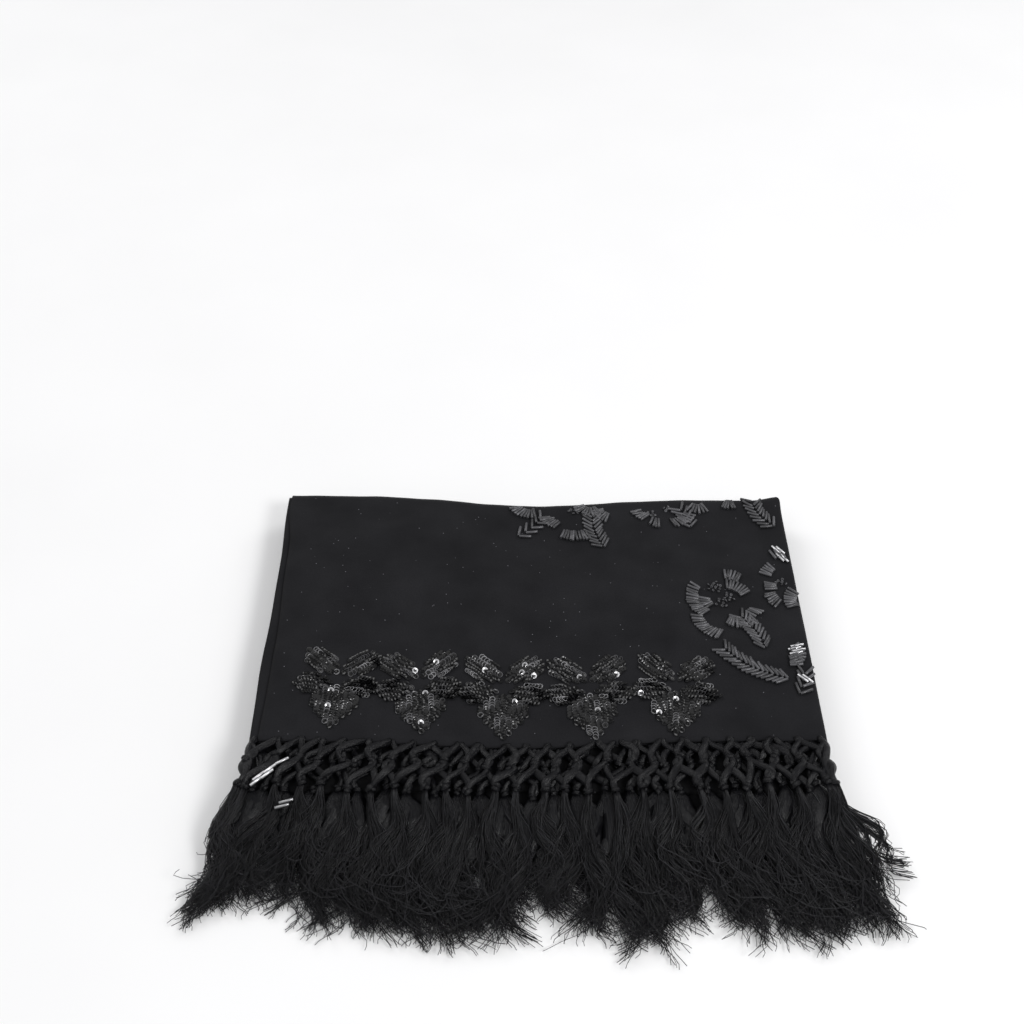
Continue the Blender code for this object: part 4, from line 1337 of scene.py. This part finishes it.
# On the fringe the second value is the reach. It grows to the front, so it is counted below zero.
LIT_ON_FRINGE = (
    (-157, -18.5, 30, 1, 0.8), (-164, -26, 41, 2, 1.0), (-169, -30.5, 41, 2, 0.9), (-150, -44, 15, 2, 0.4),
)
LIT_LIFT = 0.0115


def row_beads(row):
    """Beads side by side about a place, all at the same turn, each second one a little further on."""
    turn = math.radians(row["turn"])
    number = np.arange(row["beads"])
    offset = (number - (row["beads"] - 1) / 2) * BEAD_STEP
    further = (number % 2 - 0.5) * 2.4
    x, y = turned(further, offset, math.cos(turn), math.sin(turn))
    return np.stack([row["x"] + x, row["y"] + y, np.full(row["beads"], turn)])


cloth_rows, hung_rows = table(LIT_COLUMNS, LIT_ON_CLOTH), table(LIT_COLUMNS, LIT_ON_FRINGE)
lit = np.concatenate([row_beads(row) for row in cloth_rows], axis=1)
cloth_places, cloth_directions = cloth_frames(lit, tilt=0.0, roll=0.0, lift=BEAD_RADIUS)
hung_x, hung_y, turn = np.concatenate([row_beads(row) for row in hung_rows], axis=1)
hung_reach = -hung_y * MILLIMETRE
slope = drape_slope(hung_reach)
forward = side_by_side(np.cos(turn), np.sin(turn) * np.cos(slope), np.sin(turn) * np.sin(slope))
normal = side_by_side(0, -np.sin(slope), np.cos(slope))
hung_directions = np.stack([forward, np.cross(normal, forward), normal], axis=1)
places = np.concatenate([cloth_places, fringe_point(hung_x * MILLIMETRE, hung_reach, LIT_LIFT)])
directions = np.concatenate([cloth_directions, hung_directions])
glow = np.concatenate([np.full(row["beads"], row["glow"]) for row in cloth_rows + hung_rows])
# Painted glint: paler towards the top of each tube, by each row's glow.
painted_glint_line = np.clip(bead_shape[0][:, 2] / (BEAD_RADIUS * MILLIMETRE), 0, 1) ** 2.5
tints = (glow * chance.uniform(0.8, 1, len(glow)))[:, None] * painted_glint_line
scattered("bright_beads", bead_shape, places, directions, painted_glint, tints)

# %% [markdown]
# Round beads fill the middles of the flowers. Each is a small ring, turned at random, and lies where a spiral
# places it, so that they are evenly spaced but follow no rows.

# %% Make the round beads
SEED_SIDES = 9
SEED_LIFT = 0.9
clusters = table(SEED_COLUMNS, SEED_CLUSTERS)
seeds = np.concatenate([seed_beads(cluster, chance) for cluster in clusters], axis=1)
ring = round_circle(6)
seed_shape = turned_shape(0.72 + 0.48 * np.cos(ring), 0.50 * np.sin(ring), SEED_SIDES)
count = seeds.shape[1]
tilt, roll = chance.normal(0, 0.5, (2, count))
places, directions = cloth_frames(seeds, tilt=tilt, roll=roll, lift=SEED_LIFT)
scattered("round_bead_clusters", seed_shape, places, directions, bugle_glass, chance.uniform(0, 1, count))
print("long beads:", beads.shape[1], "round beads:", count)

# %% [markdown]
# ## Floor and light
#
# The scarf lies on a plain pale surface. A wide soft light hangs over it and a smaller one stands at the
# right, in front, so that shadows fall softly to the left and the glass has something bright to mirror. Two
# more shine on the surface behind the scarf and keep it even. Black cloth needs much light, so the pale floor
# comes out almost white, as it does in such photographs.

# %% Floor, world and lights
floor_paint, tree, shader = new_material("matt_white_board")
mottle = noise(tree, add_node(tree, "TexCoord", {}).outputs["Object"], Scale=6.0, Detail=3.0)
set_shader(shader, Base_Color=mixed(tree, mottle, "#f4f4f4", "#fafafa"), Roughness=0.95)
set_shader(shader, Specular_IOR_Level=0.1)

FLOOR_HALF = 6.0
FLOOR_LINES = 9
floor_line = np.linspace(-FLOOR_HALF, FLOOR_HALF, FLOOR_LINES)
floor_x, floor_y = np.meshgrid(floor_line, floor_line)
floor_points = side_by_side(floor_x, floor_y, -0.0002).reshape(-1, 3)
floor_mesh = bpy.data.meshes.new("floor")
floor_mesh.from_pydata(floor_points.tolist(), [], grid_faces(FLOOR_LINES, FLOOR_LINES).tolist())
floor_mesh.materials.append(floor_paint)
floor = new_object("floor", floor_mesh)

world = bpy.data.worlds.new("studio")
world.use_nodes = True
background = world.node_tree.nodes["Background"]
set_shader(background, Color=linear("#fdfdff"), Strength=0.42)
scene.world = world

# Each square soft light: its name, its place, where it shines, its size in metres and its watts.
LIGHTS = (
    ("overhead", (-0.3, -0.7, 2.0), (0.0, 0.0, 0.0), 2.0, 10.0),
    ("front_right", LAMP_PLACE, (0.0, 0.0, 0.0), 0.55, 17.0),
    ("back_left", (-1.3, 1.1, 1.5), (-0.5, 1.0, 0.0), 1.0, 11.0),
    ("back_right", (1.3, 1.1, 1.5), (0.5, 1.0, 0.0), 1.0, 11.0),
)
for name, place, aim, size, watts in LIGHTS:
    light = bpy.data.lights.new(name, "AREA")
    light.size = size
    light.energy = watts
    lamp = new_object(name, light)
    away = np.array(place) - np.array(aim)
    pitch = math.atan2(math.hypot(away[0], away[1]), away[2])
    lamp.location = place
    lamp.rotation_euler = (pitch, 0.0, math.atan2(away[1], away[0]) + math.pi / 2)
scene.view_settings.view_transform = "Standard"
